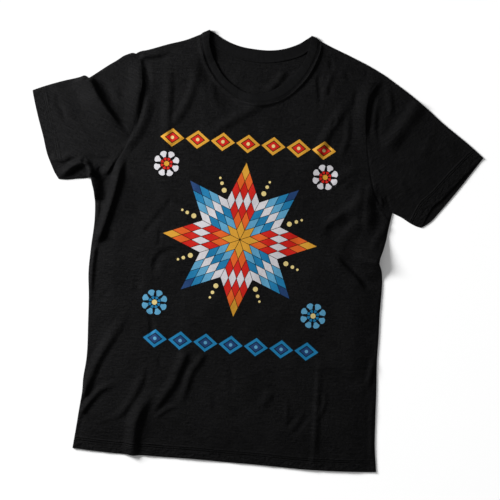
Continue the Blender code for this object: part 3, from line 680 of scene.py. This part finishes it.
front_plan = panel_plan(front_neck, NECK_COLUMNS)
front = standing(front_plan, upper_height(front_plan))
front_facing = outward(front)
front_rows = np.vstack([turned_edge(front, front_facing), front])
front_pattern = front_rows[..., :2]
from_hem = nearest(front_pattern.reshape(-1, 2), [hem])
front_panel = cloth_piece("front_cloth", "front_panel", front_rows, front_pattern, from_hem=from_hem)

# Front hem: the lowest 24 mm of the front panel, turned up inside and sewn down with two rows of stitches.
HEM_ROWS = 12
turned = (front - 2 * HEM_TURN * front_facing)[: HEM_ROWS + 1]
front_hem = cloth_piece("front_hem", "front_hem_fold", turned, turned[..., :2], flip=True)

# Back panel: the same jersey, flat on the table under the front. Its inside shows through the neck, with a
# soft wrinkle down from the neck band.
BACK_FOLDS = [
    ([(48, 318), (42, 303), (27, 281), (14, 268)], 3.6, 9, 10, 0.3, 0.3),
    ([(73, 312), (62, 298), (48, 280)], 1.4, 9, 9, 0.3, 0.3),
    ([(-20, 312), (-34, 290), (-40, 262)], 1.0, 14, 12, 0.4, 0.3),
]
BACK_NECK_COLUMNS = 72
BACK_EASE = 0.010  # how far in from every edge the back may be uneven
BACK_CRUMPLE = 0.35  # share of the front's uneven waves
back_plan = panel_plan(back_neck, BACK_NECK_COLUMNS)
back_flat = back_plan.reshape(-1, 2)
back_rise = fold_heights(back_flat, BACK_FOLDS)[0] + BACK_CRUMPLE * np.abs(crumple(back_flat))
back_edge = eased(nearest(back_flat, FOLDED + [hem, right_armhole, left_armhole, back_neck]), BACK_EASE)
back_rise = (back_rise * back_edge).reshape(back_plan.shape[:-1]) + lifted(back_plan)
back = standing(back_plan, CLOTH_LOW + back_rise)
back_facing = -outward(back)
back_rows = np.vstack([turned_edge(back, back_facing), back])
back_pattern = back_rows[..., :2]
from_hem = nearest(back_pattern.reshape(-1, 2), [hem])
back_panel = cloth_piece("back_cloth", "back_panel", back_rows, back_pattern, from_hem=from_hem, flip=True)

# Back hem: turned up inside like the front one, so it lies on top of the back panel.
turned = (back - 2 * HEM_TURN * back_facing)[: HEM_ROWS + 1]
back_hem = cloth_piece("back_hem", "back_hem_fold", turned, turned[..., :2])

# Sleeves: each is one piece of jersey sewn into a tube under the arm and set into the armhole. The cuff is
# turned in by 24 mm. On the left sleeve the upper layer has slipped back, so the lower cuff edge shows.
RIGHT_CUFF = [
    (-377.5, 241), (-375, 232), (-365, 199), (-353, 165), (-342, 132), (-334, 116), (-328, 105), (-320, 94),
]
LEFT_CUFF = [
    (395, 192.8), (386.3, 179.4), (374.8, 161.7), (350.8, 125.7), (328.8, 94.8), (314.2, 76), (305.3, 68.7),
    (299.5, 65),
]
LEFT_CUFF_UPPER = [
    (395, 192.8), (390, 188.2), (372, 167.5), (358, 151), (341, 129), (332, 118), (316, 102), (308, 86),
    (303, 73), (299.5, 65),
]
CUFF_EXTRA = 0.0025  # how much deeper the cuffs are sewn than the hem
SLEEVE_ROWS = 84
SLEEVES = {
    # armhole, lower and upper cuff edge, top, underarm, height at the cuff, degrees that the grain leans,
    # whether the tube runs the other way round, and how firmly the cuff's stitches pull
    "right": (right_armhole, RIGHT_CUFF, RIGHT_CUFF, right_top, right_under, OPEN_LOFT, -21.4, False, 0.3),
    "left": (left_armhole, LEFT_CUFF, LEFT_CUFF_UPPER, left_top, left_under, 0.0044, 36.0, True, 1.0),
}
sleeves = {}
for side, facts in SLEEVES.items():
    armhole, cuff_lower, cuff_upper, top, under, open_loft, lean, back_round, firmly = facts
    seam = armhole[::-1]
    top = evenly(top, SLEEVE_ROWS)
    under = evenly(under, SLEEVE_ROWS)
    upper_cuff = crowded(smooth_run(cuff_upper, 120), ARMHOLE_ROWS, first=True, last=True)
    lower_cuff = crowded(smooth_run(cuff_lower, 120), ARMHOLE_ROWS, first=True, last=True)
    upper_plan = patch(seam, upper_cuff, top, under)
    lower_plan = patch(seam, lower_cuff, top, under)
    upper = standing(upper_plan, upper_height(upper_plan, [upper_cuff], open_loft))
    lower = standing(lower_plan, CLOTH_LOW + lifted(lower_plan))[:, -2:0:-1]
    tube = np.hstack([upper, lower])[::-1]
    if back_round:
        tube = np.hstack([tube[:, :1], tube[:, :0:-1]])
    facing = outward(tube, around=True)
    roll = turned_edge(tube, facing)
    rows = np.vstack([roll, tube])
    turn = math.radians(lean)
    spin = np.array([[math.cos(turn), -math.sin(turn)], [math.sin(turn), math.cos(turn)]])
    pattern = rows[..., :2] @ spin
    reach = np.cumsum(np.linalg.norm(np.diff(tube, axis=0), axis=2), axis=0)
    from_hem = np.vstack([np.zeros((len(roll) + 1, tube.shape[1])), reach]) - CUFF_EXTRA
    name = side + "_sleeve"
    sleeve = cloth_piece(name + "_cloth", name, rows, pattern, from_hem=from_hem, firmly=firmly, around=True)
    turned = (tube - 2 * HEM_TURN * facing)[: HEM_ROWS + 1]
    name = side + "_cuff"
    cuff = cloth_piece(name, name + "_fold", turned, turned[..., :2] @ spin, around=True, flip=True)
    sleeves[side] = (sleeve, tube, facing)

# Neck band: a strip of one-by-one rib folded double and sewn round the neck. It is one ring, which lies
# double where it folds over at each shoulder, with the front on top.
RIB_FRONT_EDGE = [
    (-86, 368), (-85.5, 347), (-81, 332), (-73, 316), (-62.8, 300), (-52, 288.5), (-38, 278.5), (-27, 272),
    (-10, 266.5), (5, 265.5), (24, 273), (42, 285), (50.5, 292.5), (63, 305), (73.5, 320.5), (80.5, 339),
    (85, 363), (86, 373),
]
RIB_BACK_EDGE = [
    (-86, 368), (-79, 365), (-64, 356.4), (-50, 350.4), (-32, 345.5), (-10, 343.1), (19, 343.2), (36, 346.1),
    (52, 351.4), (69, 360), (77, 366), (86, 373),
]
RIB_THICK = 0.0016
RIB_OVER = 0.0013  # how far the band's edge stands over the panel's at the seam
RIB_BEAD = (0.0010, 0.0014, 0.0013)  # ridge over the seam's turned edges: height, distance, half width
RIB_SQUARE = 0.55  # power that draws a circle out to a folded strip's section
RIB_SIDES = 28
RIB_WIDE = 0.020
RIB_WALE = 0.00155
RIB_COURSE = 0.0008
RIB_DARK = (0.0010, 0.0010, 0.0011)
RIB_LIGHT = (0.0048, 0.0048, 0.0051)
CREST_PAINTED_LIGHT = 0.45  # painted highlight: how much paler a rib is on its crest, with painted shade in the grooves between ribs
RIB_TONE_BASE = 0.35
CREST_RISE = 0.00055
LOOP_RISE = 0.00015
RIB_FRONT_COLUMNS = 290
RIB_BACK_COLUMNS = 180
TIP_COLUMNS = 8
TIP_REACH = 0.0005  # how far the fold at a tip reaches past the rows
SEAM_OVER = 0.0009  # how far the band's seam lies over the front panel
FREE_UNDER = 0.0006  # how far its free edge lies under the front panel's height
FRONT_LEAST = 2.1 * RIB_THICK  # the front lies on the back at the tips
BACK_SEAM = 0.0013  # height of the back's seam
BACK_FREE = 0.0010  # height of its free edge


def ring_of(front_run, back_run, front_level, back_level):
    """A closed ring: along the front, over a small half circle at the tip, home along the back, and over
    the other tip."""
    out = standing(front_run, front_level)
    home = standing(back_run[::-1], back_level)
    tips = []
    for start, end, way in ((out[-1], home[0], out[-1] - out[-3]), (home[-1], out[0], out[0] - out[2])):
        way = np.append(unit(way[:2]), 0)
        turn = np.linspace(0, math.pi, TIP_COLUMNS + 2)[1:-1, None]
        middle, half = (start + end) / 2, (start - end) / 2
        tips.append(middle + half * np.cos(turn) + TIP_REACH * way * np.sin(turn))
    return np.vstack([out, tips[0], home, tips[1]])


def squared(wave):
    """A wave from -1 to 1 with its turns drawn out: its size to a power, with its sign."""
    return np.sign(wave) * np.abs(wave) ** RIB_SQUARE


seam_front = evenly(front_neck, RIB_FRONT_COLUMNS)
seam_back = evenly(back_neck, RIB_BACK_COLUMNS)
free_front = evenly(smooth_run(RIB_FRONT_EDGE, 200), RIB_FRONT_COLUMNS)
free_back = evenly(smooth_run(RIB_BACK_EDGE, 120), RIB_BACK_COLUMNS)
seam_level = np.maximum(upper_height(seam_front) + SEAM_OVER, FRONT_LEAST)
free_level = np.maximum(upper_height(free_front) - FREE_UNDER, FRONT_LEAST)
seam_ring = ring_of(seam_front, seam_back, seam_level, BACK_SEAM)
free_ring = ring_of(free_front, free_back, free_level, BACK_FREE)
width = np.linalg.norm(free_ring - seam_ring, axis=1)[:, None]
across = unit(free_ring - seam_ring)
both = seam_ring + free_ring
band_up = unit(np.cross(across, np.roll(both, -1, axis=0) - np.roll(both, 1, axis=0)))
turn = np.linspace(0, 2 * math.pi, RIB_SIDES, endpoint=False)[:, None, None]
reach = (width + RIB_OVER) / 2
centre = both / 2 - across * RIB_OVER / 2
bead, bead_at, bead_half = RIB_BEAD
bead = bead * bell((1 + squared(np.cos(turn))) * reach - bead_at, bead_half)
rise = squared(np.sin(turn)) * RIB_THICK / 2 + bead
rib_points = centre + across * squared(np.cos(turn)) * reach + band_up * rise
rib_along = reach_along(np.vstack([centre, centre[:1]]))
rib_across = np.append(np.cos(turn.ravel()), 1) * RIB_WIDE / 2
rib_pattern = np.stack(np.broadcast_arrays(rib_along[None, :], rib_across[:, None]), axis=-1)
tree, shader = finish("black_rib", 0.8, 0.03)
uv, u, loops = knit_relief(tree, RIB_WALE / 2, RIB_COURSE)
crest = math_node(tree, "DIVIDE", math_node(tree, "PINGPONG", u, RIB_WALE / 2), RIB_WALE / 2)
tone_and_shade = math_node(tree, "SUBTRACT", streaks(tree, uv, 240, 30, 2.0), RIB_TONE_BASE)
# painted light: paler on each rib's crest and darker between ribs, by the same height as the crest's bump
tone_and_shade = math_node(tree, "MULTIPLY_ADD", crest, CREST_PAINTED_LIGHT, tone_and_shade, clamp=True)
tree.links.new(mixed(tree, tone_and_shade, RIB_DARK, RIB_LIGHT), shader.inputs["Base Color"])
normal = bumped(tree, crest, CREST_RISE)
tree.links.new(bumped(tree, loops, LOOP_RISE, normal), shader.inputs["Normal"])
neck_band = cloth_piece("neck_band", "neck_rib", rib_points, rib_pattern, "black_rib", around=True, ring=True)

# Tape: a 10 mm strip of jersey sewn over the seam inside the back neck, from shoulder to shoulder.
TAPE_WIDE = 0.010
TAPE_OVER = 0.0002  # how far it lies over the back panel
TAPE_THICK = 0.0003
TAPE_ROUND = 0.0012  # radius of its edges
TAPE_APART = 0.0006  # from the neck's edge
TAPE_ENDS = (0.06, 0.94)  # as shares of the back neck
TAPE_COLUMNS = 150
TAPE_ROWS = 9
tape_line = at_share(back_neck, np.linspace(*TAPE_ENDS, TAPE_COLUMNS))
tape_share = np.linspace(0, 1, TAPE_ROWS)[:, None]
tape_plan = tape_line[None] - np.stack([0 * tape_share, TAPE_APART + TAPE_WIDE * tape_share], axis=-1)
tape_rise = TAPE_THICK * rounded(np.minimum(tape_share, 1 - tape_share) * TAPE_WIDE, TAPE_ROUND)
tape_under = fold_heights(tape_plan.reshape(-1, 2), BACK_FOLDS)[0].reshape(tape_plan.shape[:-1])
tape_rows = standing(tape_plan, CLOTH_LOW + TAPE_OVER + tape_rise + tape_under)
tape = cloth_piece("neck_tape", "back_neck_tape", tape_rows, tape_plan, flip=True)

# Stitches: black thread, one row round the neck on the body side of the seam, and two rows round the hem
# and each cuff, in straight stitches of 2.6 mm.
NECK_STITCH = 0.0042  # from the seam of the neck
STITCH = 0.0026
STITCH_PITCH = 0.0031
THREAD_HALF = 0.00022  # radius of the thread
THREAD_FLAT = 0.8  # its height as a share of its width
THREAD_LIFT = 0.00012  # of its middle over the cloth
THREAD_PLACES = np.array([-0.5, -0.36, 0.0, 0.36, 0.5])  # along a stitch, as shares of its length
THREAD_THICK = np.array([0.35, 0.85, 1.0, 0.85, 0.35]) * THREAD_HALF
THREAD_SIDES = 6
THREAD_DARK = (0.0015, 0.0015, 0.0016)
THREAD_LIGHT = (0.0055, 0.0055, 0.0057)
TWIST_RISE = 0.00006
tree, shader = finish("black_thread", 0.55, 0.10)
thread_place = tree.nodes.new("ShaderNodeTexCoord")
twist = tree.nodes.new("ShaderNodeTexWave")
twist.bands_direction = "DIAGONAL"
twist.inputs["Scale"].default_value = 900
tree.links.new(thread_place.outputs["Object"], twist.inputs["Vector"])
plies = twist.outputs["Fac"]
# painted light: the thread is paler on each ply as painted highlight and darker between them as painted
# shade, by the same twist bands as its bump
tree.links.new(mixed(tree, plies, THREAD_DARK, THREAD_LIGHT), shader.inputs["Base Color"])
tree.links.new(bumped(tree, plies, TWIST_RISE), shader.inputs["Normal"])


def stitch_piece(name, lines):
    """Rows of stitches along lines in space, given with the way that the cloth faces. Each stitch is a
    six-sided thread, thin at both ends: a circle carried along a straight piece of the line."""
    turn = np.arange(THREAD_SIDES) * 2 * math.pi / THREAD_SIDES
    found = []
    for line, facing in lines:
        length = reach_along(line)[-1]
        count = int(length / STITCH_PITCH)
        at = (np.arange(count) + 0.5) * STITCH_PITCH / length
        half = STITCH / 2 / length
        start, end = at_share(line, at - half), at_share(line, at + half)
        face = at_share(np.hstack([line, facing]), at)[:, 3:]
        way = end - start
        side = unit(np.cross(face, way))
        up = unit(np.cross(way, side))[:, None, None]
        spread = side[:, None, None] * np.cos(turn)[:, None] + THREAD_FLAT * up * np.sin(turn)[:, None]
        middle = ((start + end) / 2)[:, None, None] + way[:, None, None] * THREAD_PLACES[:, None, None]
        found.append(middle + spread * THREAD_THICK[:, None, None] + up * THREAD_LIFT)
    points = np.concatenate(found)
    rings = len(THREAD_PLACES)
    base = (np.arange(len(points)) * rings * THREAD_SIDES)[:, None, None]
    ring = (np.arange(rings - 1) * THREAD_SIDES)[None, :, None] + base
    k = np.arange(THREAD_SIDES)
    after = (k + 1) % THREAD_SIDES
    sides = np.stack([ring + k, ring + after, ring + THREAD_SIDES + after, ring + THREAD_SIDES + k], axis=-1)
    caps = np.concatenate([base[:, 0] + k[::-1], base[:, 0] + (rings - 1) * THREAD_SIDES + k])
    faces = sides.reshape(-1, 4).tolist() + caps.tolist()
    return add_piece(name, points, faces, finishes["black_thread"])


def beside(line, distance):
    """A line in plan moved sideways, to the left of its direction."""
    way = unit(np.gradient(line, axis=0))
    return line + distance * np.stack([-way[:, 1], way[:, 0]], axis=1)


def on_rows(points, facing, distance):
    """A line across a grid's columns, at one distance up from its first row."""
    reach = np.cumsum(np.linalg.norm(np.diff(points, axis=0), axis=2), axis=0)
    row = (reach < distance).sum(axis=0)
    column = np.arange(points.shape[1])
    before = np.where(row > 0, reach[np.maximum(row - 1, 0), column], 0)
    share = ((distance - before) / (reach[row, column] - before))[:, None]
    line = points[row, column] + share * (points[row + 1, column] - points[row, column])
    return line, facing[row, column]


neck_line = beside(front_neck, -NECK_STITCH)[3:-3]  # its ends are under the band's tips
neck_line = standing(neck_line, upper_height(neck_line))
neck_facing = np.tile([0.0, 0.0, 1.0], (len(neck_line), 1))
neck_stitches = stitch_piece("neck_stitches", [(neck_line, neck_facing)])
front_stitches = stitch_piece("front_hem_stitches", [on_rows(front, front_facing, d) for d in HEM_STITCHES])
back_line = standing(beside(back_neck, -NECK_STITCH)[3:-3], CLOTH_LOW)
back_lines = [(back_line, np.tile([0.0, 0.0, -1.0], (len(back_line), 1)))]
back_lines += [on_rows(back, back_facing, d) for d in HEM_STITCHES]
back_stitches = stitch_piece("back_stitches", back_lines)
for side, (sleeve, tube, facing) in sleeves.items():
    cuff_lines = [on_rows(tube, facing, d + CUFF_EXTRA) for d in HEM_STITCHES]
    cuff_stitches = stitch_piece(side + "_cuff_stitches", cuff_lines)

# Print: screen ink on the chest, a quilter's star of small diamonds with a band of diamonds above and
# below it, a rosette at each corner and beads between. The ink takes the folds and the knit under it.
PRINT_MIDDLE = np.array([-0.005, 0.018])
STAR_POINTS = 8
STAR_REACH = 0.132
STAR_NOTCH = STAR_REACH / (2 * math.cos(math.pi / STAR_POINTS))
STAR_CELLS = 4  # small diamonds along each side of a point
STAR_BEADS = ((0.088, 0.0042), (0.1005, 0.0030), (0.110, 0.0021))  # reach and radius
WARM = ["gold", "orange", "red", "pale", "red", "orange", "gold"]
COOL = ["gold", "sky", "teal", "pale", "sky", "teal", "navy"]
CELL_GAP = 0.035  # share of a small diamond that stays bare on each side
CELL_STEPS, FRAME_STEPS, HEART_STEPS = 9, 12, 14  # of the ink's grids, fine enough for the folds
BAND_COUNT = 7
BANDS = {"upper": (0.163, "gold", "red", "cream"), "lower": (-0.179, "teal", "navy", "sky")}
BAND_HALF = (0.0215, 0.0165)
BAND_RIM, BAND_CORE, BAND_HEART = 0.95, 0.60, 0.50  # of a diamond's half size
BAND_BEAD = 0.0030
ROSETTES = {"upper": (0.118, "pale", "red", "gold"), "lower": (-0.118, "sky", "teal", "cream")}
ROSETTE_SIDES = {"right": -0.135, "left": 0.135}
ROSETTE_REACH = 0.022
PETALS = 8
PETAL_SHARE = 0.82  # of its turn that a petal fills
OUTER_PETALS = (0.52, 1.0)  # from and to, as shares of the rosette's reach
INNER_PETALS = (0.24, 0.48)
ROSETTE_HEART = 0.20
INK_LIFT = 0.0003  # of the ink over the cloth
INK_KNIT_RISE = 0.00009
INK_PATCH_RISE = 0.0002
INK_THIN = 0.78  # share of the colour that is left where the ink is thin
PATCH_WEAR, GRAIN_WEAR, KNIT_WEAR, WEAR_BASE = 0.8, 0.5, 0.25, 0.30
BEAD_LIFT = 0.0002  # of a bead over the heart of a diamond
RAISED = [("print_upper_band", "cream"), ("print_lower_band", "sky")]
INK_COLOURS = {  # the slot that each takes its finish from, and its colour
    "red": ("red_ink", (0.29, 0.004, 0.001)),
    "orange": ("red_ink", (0.36, 0.055, 0.005)),
    "gold": ("gold_ink", (0.33, 0.160, 0.013)),
    "cream": ("gold_ink", (0.38, 0.300, 0.120)),
    "pale": ("pale_ink", (0.325, 0.315, 0.33)),
    "sky": ("blue_ink", (0.050, 0.170, 0.27)),
    "teal": ("blue_ink", (0.003, 0.090, 0.19)),
    "navy": ("navy_ink", (0.004, 0.022, 0.075)),
}


def ink_finish(name, colour):
    """Screen ink: its colour thins a little in the knit's grooves and in patches, and it shines a little."""
    tree, shader = finish(name + "_ink", 0.55, 0.10)
    uv, _, relief = knit_relief(tree)
    patches = streaks(tree, uv, 160, 160, 3.0)
    grain = streaks(tree, uv, 900, 900, 2.0)
    wear = math_node(tree, "MULTIPLY", grain, GRAIN_WEAR)
    wear = math_node(tree, "MULTIPLY_ADD", patches, PATCH_WEAR, wear)
    wear = math_node(tree, "SUBTRACT", wear, WEAR_BASE)
    wear = math_node(tree, "MULTIPLY_ADD", relief, KNIT_WEAR, wear, clamp=True)
    thin = tuple(INK_THIN * part for part in colour)
    tree.links.new(mixed(tree, wear, thin, colour), shader.inputs["Base Color"])
    normal = bumped(tree, relief, INK_KNIT_RISE)
    tree.links.new(bumped(tree, patches, INK_PATCH_RISE, normal, 0.5), shader.inputs["Normal"])


def diamonds(corners, steps):
    """Each row of four corners as a grid between them, evenly spaced both ways."""
    s = np.linspace(0, 1, steps + 1)[:, None, None]
    t = np.linspace(0, 1, steps + 1)[None, :, None]
    a, b, c, d = (corners[:, k, None, None] for k in range(4))
    return (1 - s) * (1 - t) * a + s * (1 - t) * b + s * t * c + (1 - s) * t * d


def beads(centres, radius, steps=4):
    """Round dots: a square grid drawn out to a circle, each side by the root of one less half the other's
    square."""
    a = np.linspace(-1, 1, steps + 1)[:, None]
    b = np.linspace(-1, 1, steps + 1)[None]
    disc = np.stack([a * np.sqrt(1 - b * b / 2), b * np.sqrt(1 - a * a / 2)], axis=-1)
    return np.asarray(centres)[:, None, None] + radius * disc


def petals(centre, inner, outer, steps=6):
    """Petals round a centre: each fills a share of its turn, 55% as much at its inner end, and its outer end
    is round, with 78% of the reach plus 22% of a circle's height over the petal's width."""
    middle = (np.arange(PETALS) + 0.5) * 2 * math.pi / PETALS
    side = np.linspace(-1, 1, steps + 1)[:, None]
    v = np.linspace(0, 1, steps + 1)[None]
    turn = middle[:, None, None] + side * PETAL_SHARE * math.pi / PETALS * (0.55 + 0.45 * v)
    reach = inner + (outer * (0.78 + 0.22 * np.sqrt(1 - 0.9 * side**2)) - inner) * v
    return centre + reach[None, ..., None] * np.stack([np.cos(turn), np.sin(turn)], axis=-1)


shapes = {}


def printed(node, ink, patches):
    """Keeps some patches of one ink, to be made into one film with the others of its node and ink."""
    shapes.setdefault((node, ink), []).append(patches)


for point in range(STAR_POINTS):
    turn = (point + np.array([-0.5, 0.5])) * 2 * math.pi / STAR_POINTS
    edges = STAR_NOTCH * np.stack([np.cos(turn), np.sin(turn)], axis=1)
    for i in range(STAR_CELLS):
        for j in range(STAR_CELLS):
            low = (np.array([i, j]) + CELL_GAP) / STAR_CELLS
            high = (np.array([i, j]) + 1 - CELL_GAP) / STAR_CELLS
            mix = np.array([low, (high[0], low[1]), high, (low[0], high[1])])
            ink = (WARM if point % 2 == 0 else COOL)[i + j]
            printed("print_star", ink, diamonds((PRINT_MIDDLE + mix @ edges)[None], CELL_STEPS))
for place, (y, outer, inner, bead_ink) in BANDS.items():
    x = PRINT_MIDDLE[0] + (np.arange(BAND_COUNT) - BAND_COUNT // 2) * 2 * BAND_HALF[0]
    centres = np.stack([x, np.full(BAND_COUNT, y + PRINT_MIDDLE[1])], axis=1)
    corner = np.array([(-1, 0), (0, -1), (1, 0), (0, 1)]) * BAND_HALF
    rim, core, heart = (centres[:, None] + corner * size for size in (BAND_RIM, BAND_CORE, BAND_HEART))
    node = "print_" + place + "_band"
    for k in range(4):
        after = (k + 1) % 4
        frame_side = np.stack([rim[:, k], rim[:, after], core[:, after], core[:, k]], axis=1)
        printed(node, outer, diamonds(frame_side, FRAME_STEPS))
    printed(node, inner, diamonds(heart, HEART_STEPS))
    printed(node, bead_ink, beads(centres, BAND_BEAD))
for place, (y, outer, inner, heart_ink) in ROSETTES.items():
    for side, x in ROSETTE_SIDES.items():
        node = "print_" + place + "_rosette_" + side
        centre = PRINT_MIDDLE + (x, y)
        printed(node, outer, petals(centre, *(share * ROSETTE_REACH for share in OUTER_PETALS)))
        printed(node, inner, petals(centre, *(share * ROSETTE_REACH for share in INNER_PETALS), 4))
        printed(node, heart_ink, beads(centre[None], ROSETTE_HEART * ROSETTE_REACH, 6))
notch_turn = (np.arange(STAR_POINTS) + 0.5) * 2 * math.pi / STAR_POINTS
for reach, radius in STAR_BEADS:
    notch_beads = PRINT_MIDDLE + reach * np.stack([np.cos(notch_turn), np.sin(notch_turn)], axis=1)
    printed("print_star", "cream", beads(notch_beads, radius))

# Films: all patches of one ink on one part of the print are one sheet of ink on the cloth, on a grid fine
# enough to take its folds.
for name, (_, colour) in INK_COLOURS.items():
    ink_finish(name, colour)
for (node, ink), groups in shapes.items():
    faces = []
    start = 0
    for group in groups:
        count, rows, columns = group.shape[:3]
        spot = start + np.arange(count * rows * columns).reshape(count, rows, columns)
        four = np.stack([spot[:, :-1, :-1], spot[:, 1:, :-1], spot[:, 1:, 1:], spot[:, :-1, 1:]], axis=-1)
        (ax, ay), (bx, by) = group[0, 1, 0] - group[0, 0, 0], group[0, 0, 1] - group[0, 0, 0]
        if ax * by < ay * bx:
            four = four[..., ::-1]
        faces.append(four.reshape(-1, 4))
        start += count * rows * columns
    plan = np.concatenate([group.reshape(-1, 2) for group in groups])
    faces = np.concatenate(faces)
    lift = INK_LIFT + (BEAD_LIFT if (node, ink) in RAISED else 0)
    points = standing(plan, upper_height(plan) + lift)
    material = finishes[ink + "_ink"]
    add_piece(node + "_" + ink, points, faces, material, node, plan[faces.ravel()])

# Light: one soft lamp from the upper left, a disc 66 cm wide. It is tilted up from straight down, and then
# turned towards the middle of the shirt.
KEY_PLACE = (-1.27, 0.50, 0.73)
KEY_TARGET = (-0.05, 0.05, 0.0)
KEY_SIZE = 0.66
KEY_ENERGY = 86
key_data = bpy.data.lights.new("key", "AREA")
key_data.shape = "DISK"
key_data.size = KEY_SIZE
key_data.energy = KEY_ENERGY
key = bpy.data.objects.new("key", key_data)
key.location = KEY_PLACE
aim = unit(np.array(KEY_TARGET) - np.array(KEY_PLACE))
key.rotation_euler = (math.acos(-aim[2]), 0, math.atan2(aim[1], aim[0]) - math.pi / 2)
bpy.context.scene.collection.objects.link(key)

# Table top: a sheet of pale acrylic, lit from below a little. Its grey is the brightness that it should show
# over the light that it gets, the lamp's with both slants over its distance squared plus the fill's, so that
# all of the view is just white and the shirt's soft shadow shows.
KEY_BRIGHTNESS = 8.05  # of a white sheet that faces the lamp one metre away
FILL_BRIGHTNESS = 0.452  # of one under the fill
TABLE_BRIGHTNESS = 1.02  # of the table as it is seen, where 1 is just white
TABLE_GLOW = 0.09  # of that, from below
WHITEST = 0.93  # the palest that the sheet gets
TABLE_HALF = 3.0
corners = [(-TABLE_HALF, -TABLE_HALF, 0), (TABLE_HALF, -TABLE_HALF, 0)]
corners += [(TABLE_HALF, TABLE_HALF, 0), (-TABLE_HALF, TABLE_HALF, 0)]
table_mesh = bpy.data.meshes.new("table")
table_mesh.from_pydata(corners, [], [(0, 1, 2, 3)])
table = bpy.data.objects.new("table", table_mesh)
bpy.context.scene.collection.objects.link(table)
tree, shader = finish("white_table", 0.9)
place = tree.nodes.new("ShaderNodeTexCoord")
split = tree.nodes.new("ShaderNodeSeparateXYZ")
tree.links.new(place.outputs["Object"], split.inputs[0])
off_x = math_node(tree, "SUBTRACT", split.outputs[0], KEY_PLACE[0])
off_y = math_node(tree, "SUBTRACT", split.outputs[1], KEY_PLACE[1])
far_square = math_node(tree, "MULTIPLY_ADD", off_x, off_x, KEY_PLACE[2] ** 2)
far_square = math_node(tree, "MULTIPLY_ADD", off_y, off_y, far_square)
ahead = math_node(tree, "MULTIPLY_ADD", off_x, float(aim[0]), float(-aim[2] * KEY_PLACE[2]))
ahead = math_node(tree, "MAXIMUM", math_node(tree, "MULTIPLY_ADD", off_y, float(aim[1]), ahead), 0.0)
lit = math_node(tree, "MULTIPLY", ahead, KEY_BRIGHTNESS * KEY_PLACE[2])
lit = math_node(tree, "DIVIDE", lit, math_node(tree, "MULTIPLY", far_square, far_square))
lit = math_node(tree, "ADD", lit, FILL_BRIGHTNESS)
grey = math_node(tree, "DIVIDE", TABLE_BRIGHTNESS - TABLE_GLOW, lit)
tree.links.new(math_node(tree, "MINIMUM", grey, WHITEST), shader.inputs["Base Color"])
shader.inputs["Emission Color"].default_value = (1, 1, 1, 1)
shader.inputs["Emission Strength"].default_value = TABLE_GLOW
table_mesh.materials.append(finishes["white_table"])

# Fill: an even white light all round, as a white room gives it. On the table under the shirt it is about a
# quarter as bright as the lamp.
FILL_STRENGTH = 0.36
world = bpy.data.worlds.new("studio")
world.use_nodes = True
background = world.node_tree.nodes["Background"]
background.inputs["Color"].default_value = (1, 1, 1, 1)
background.inputs["Strength"].default_value = FILL_STRENGTH
bpy.context.scene.world = world
bpy.context.scene.view_settings.view_transform = "Standard"
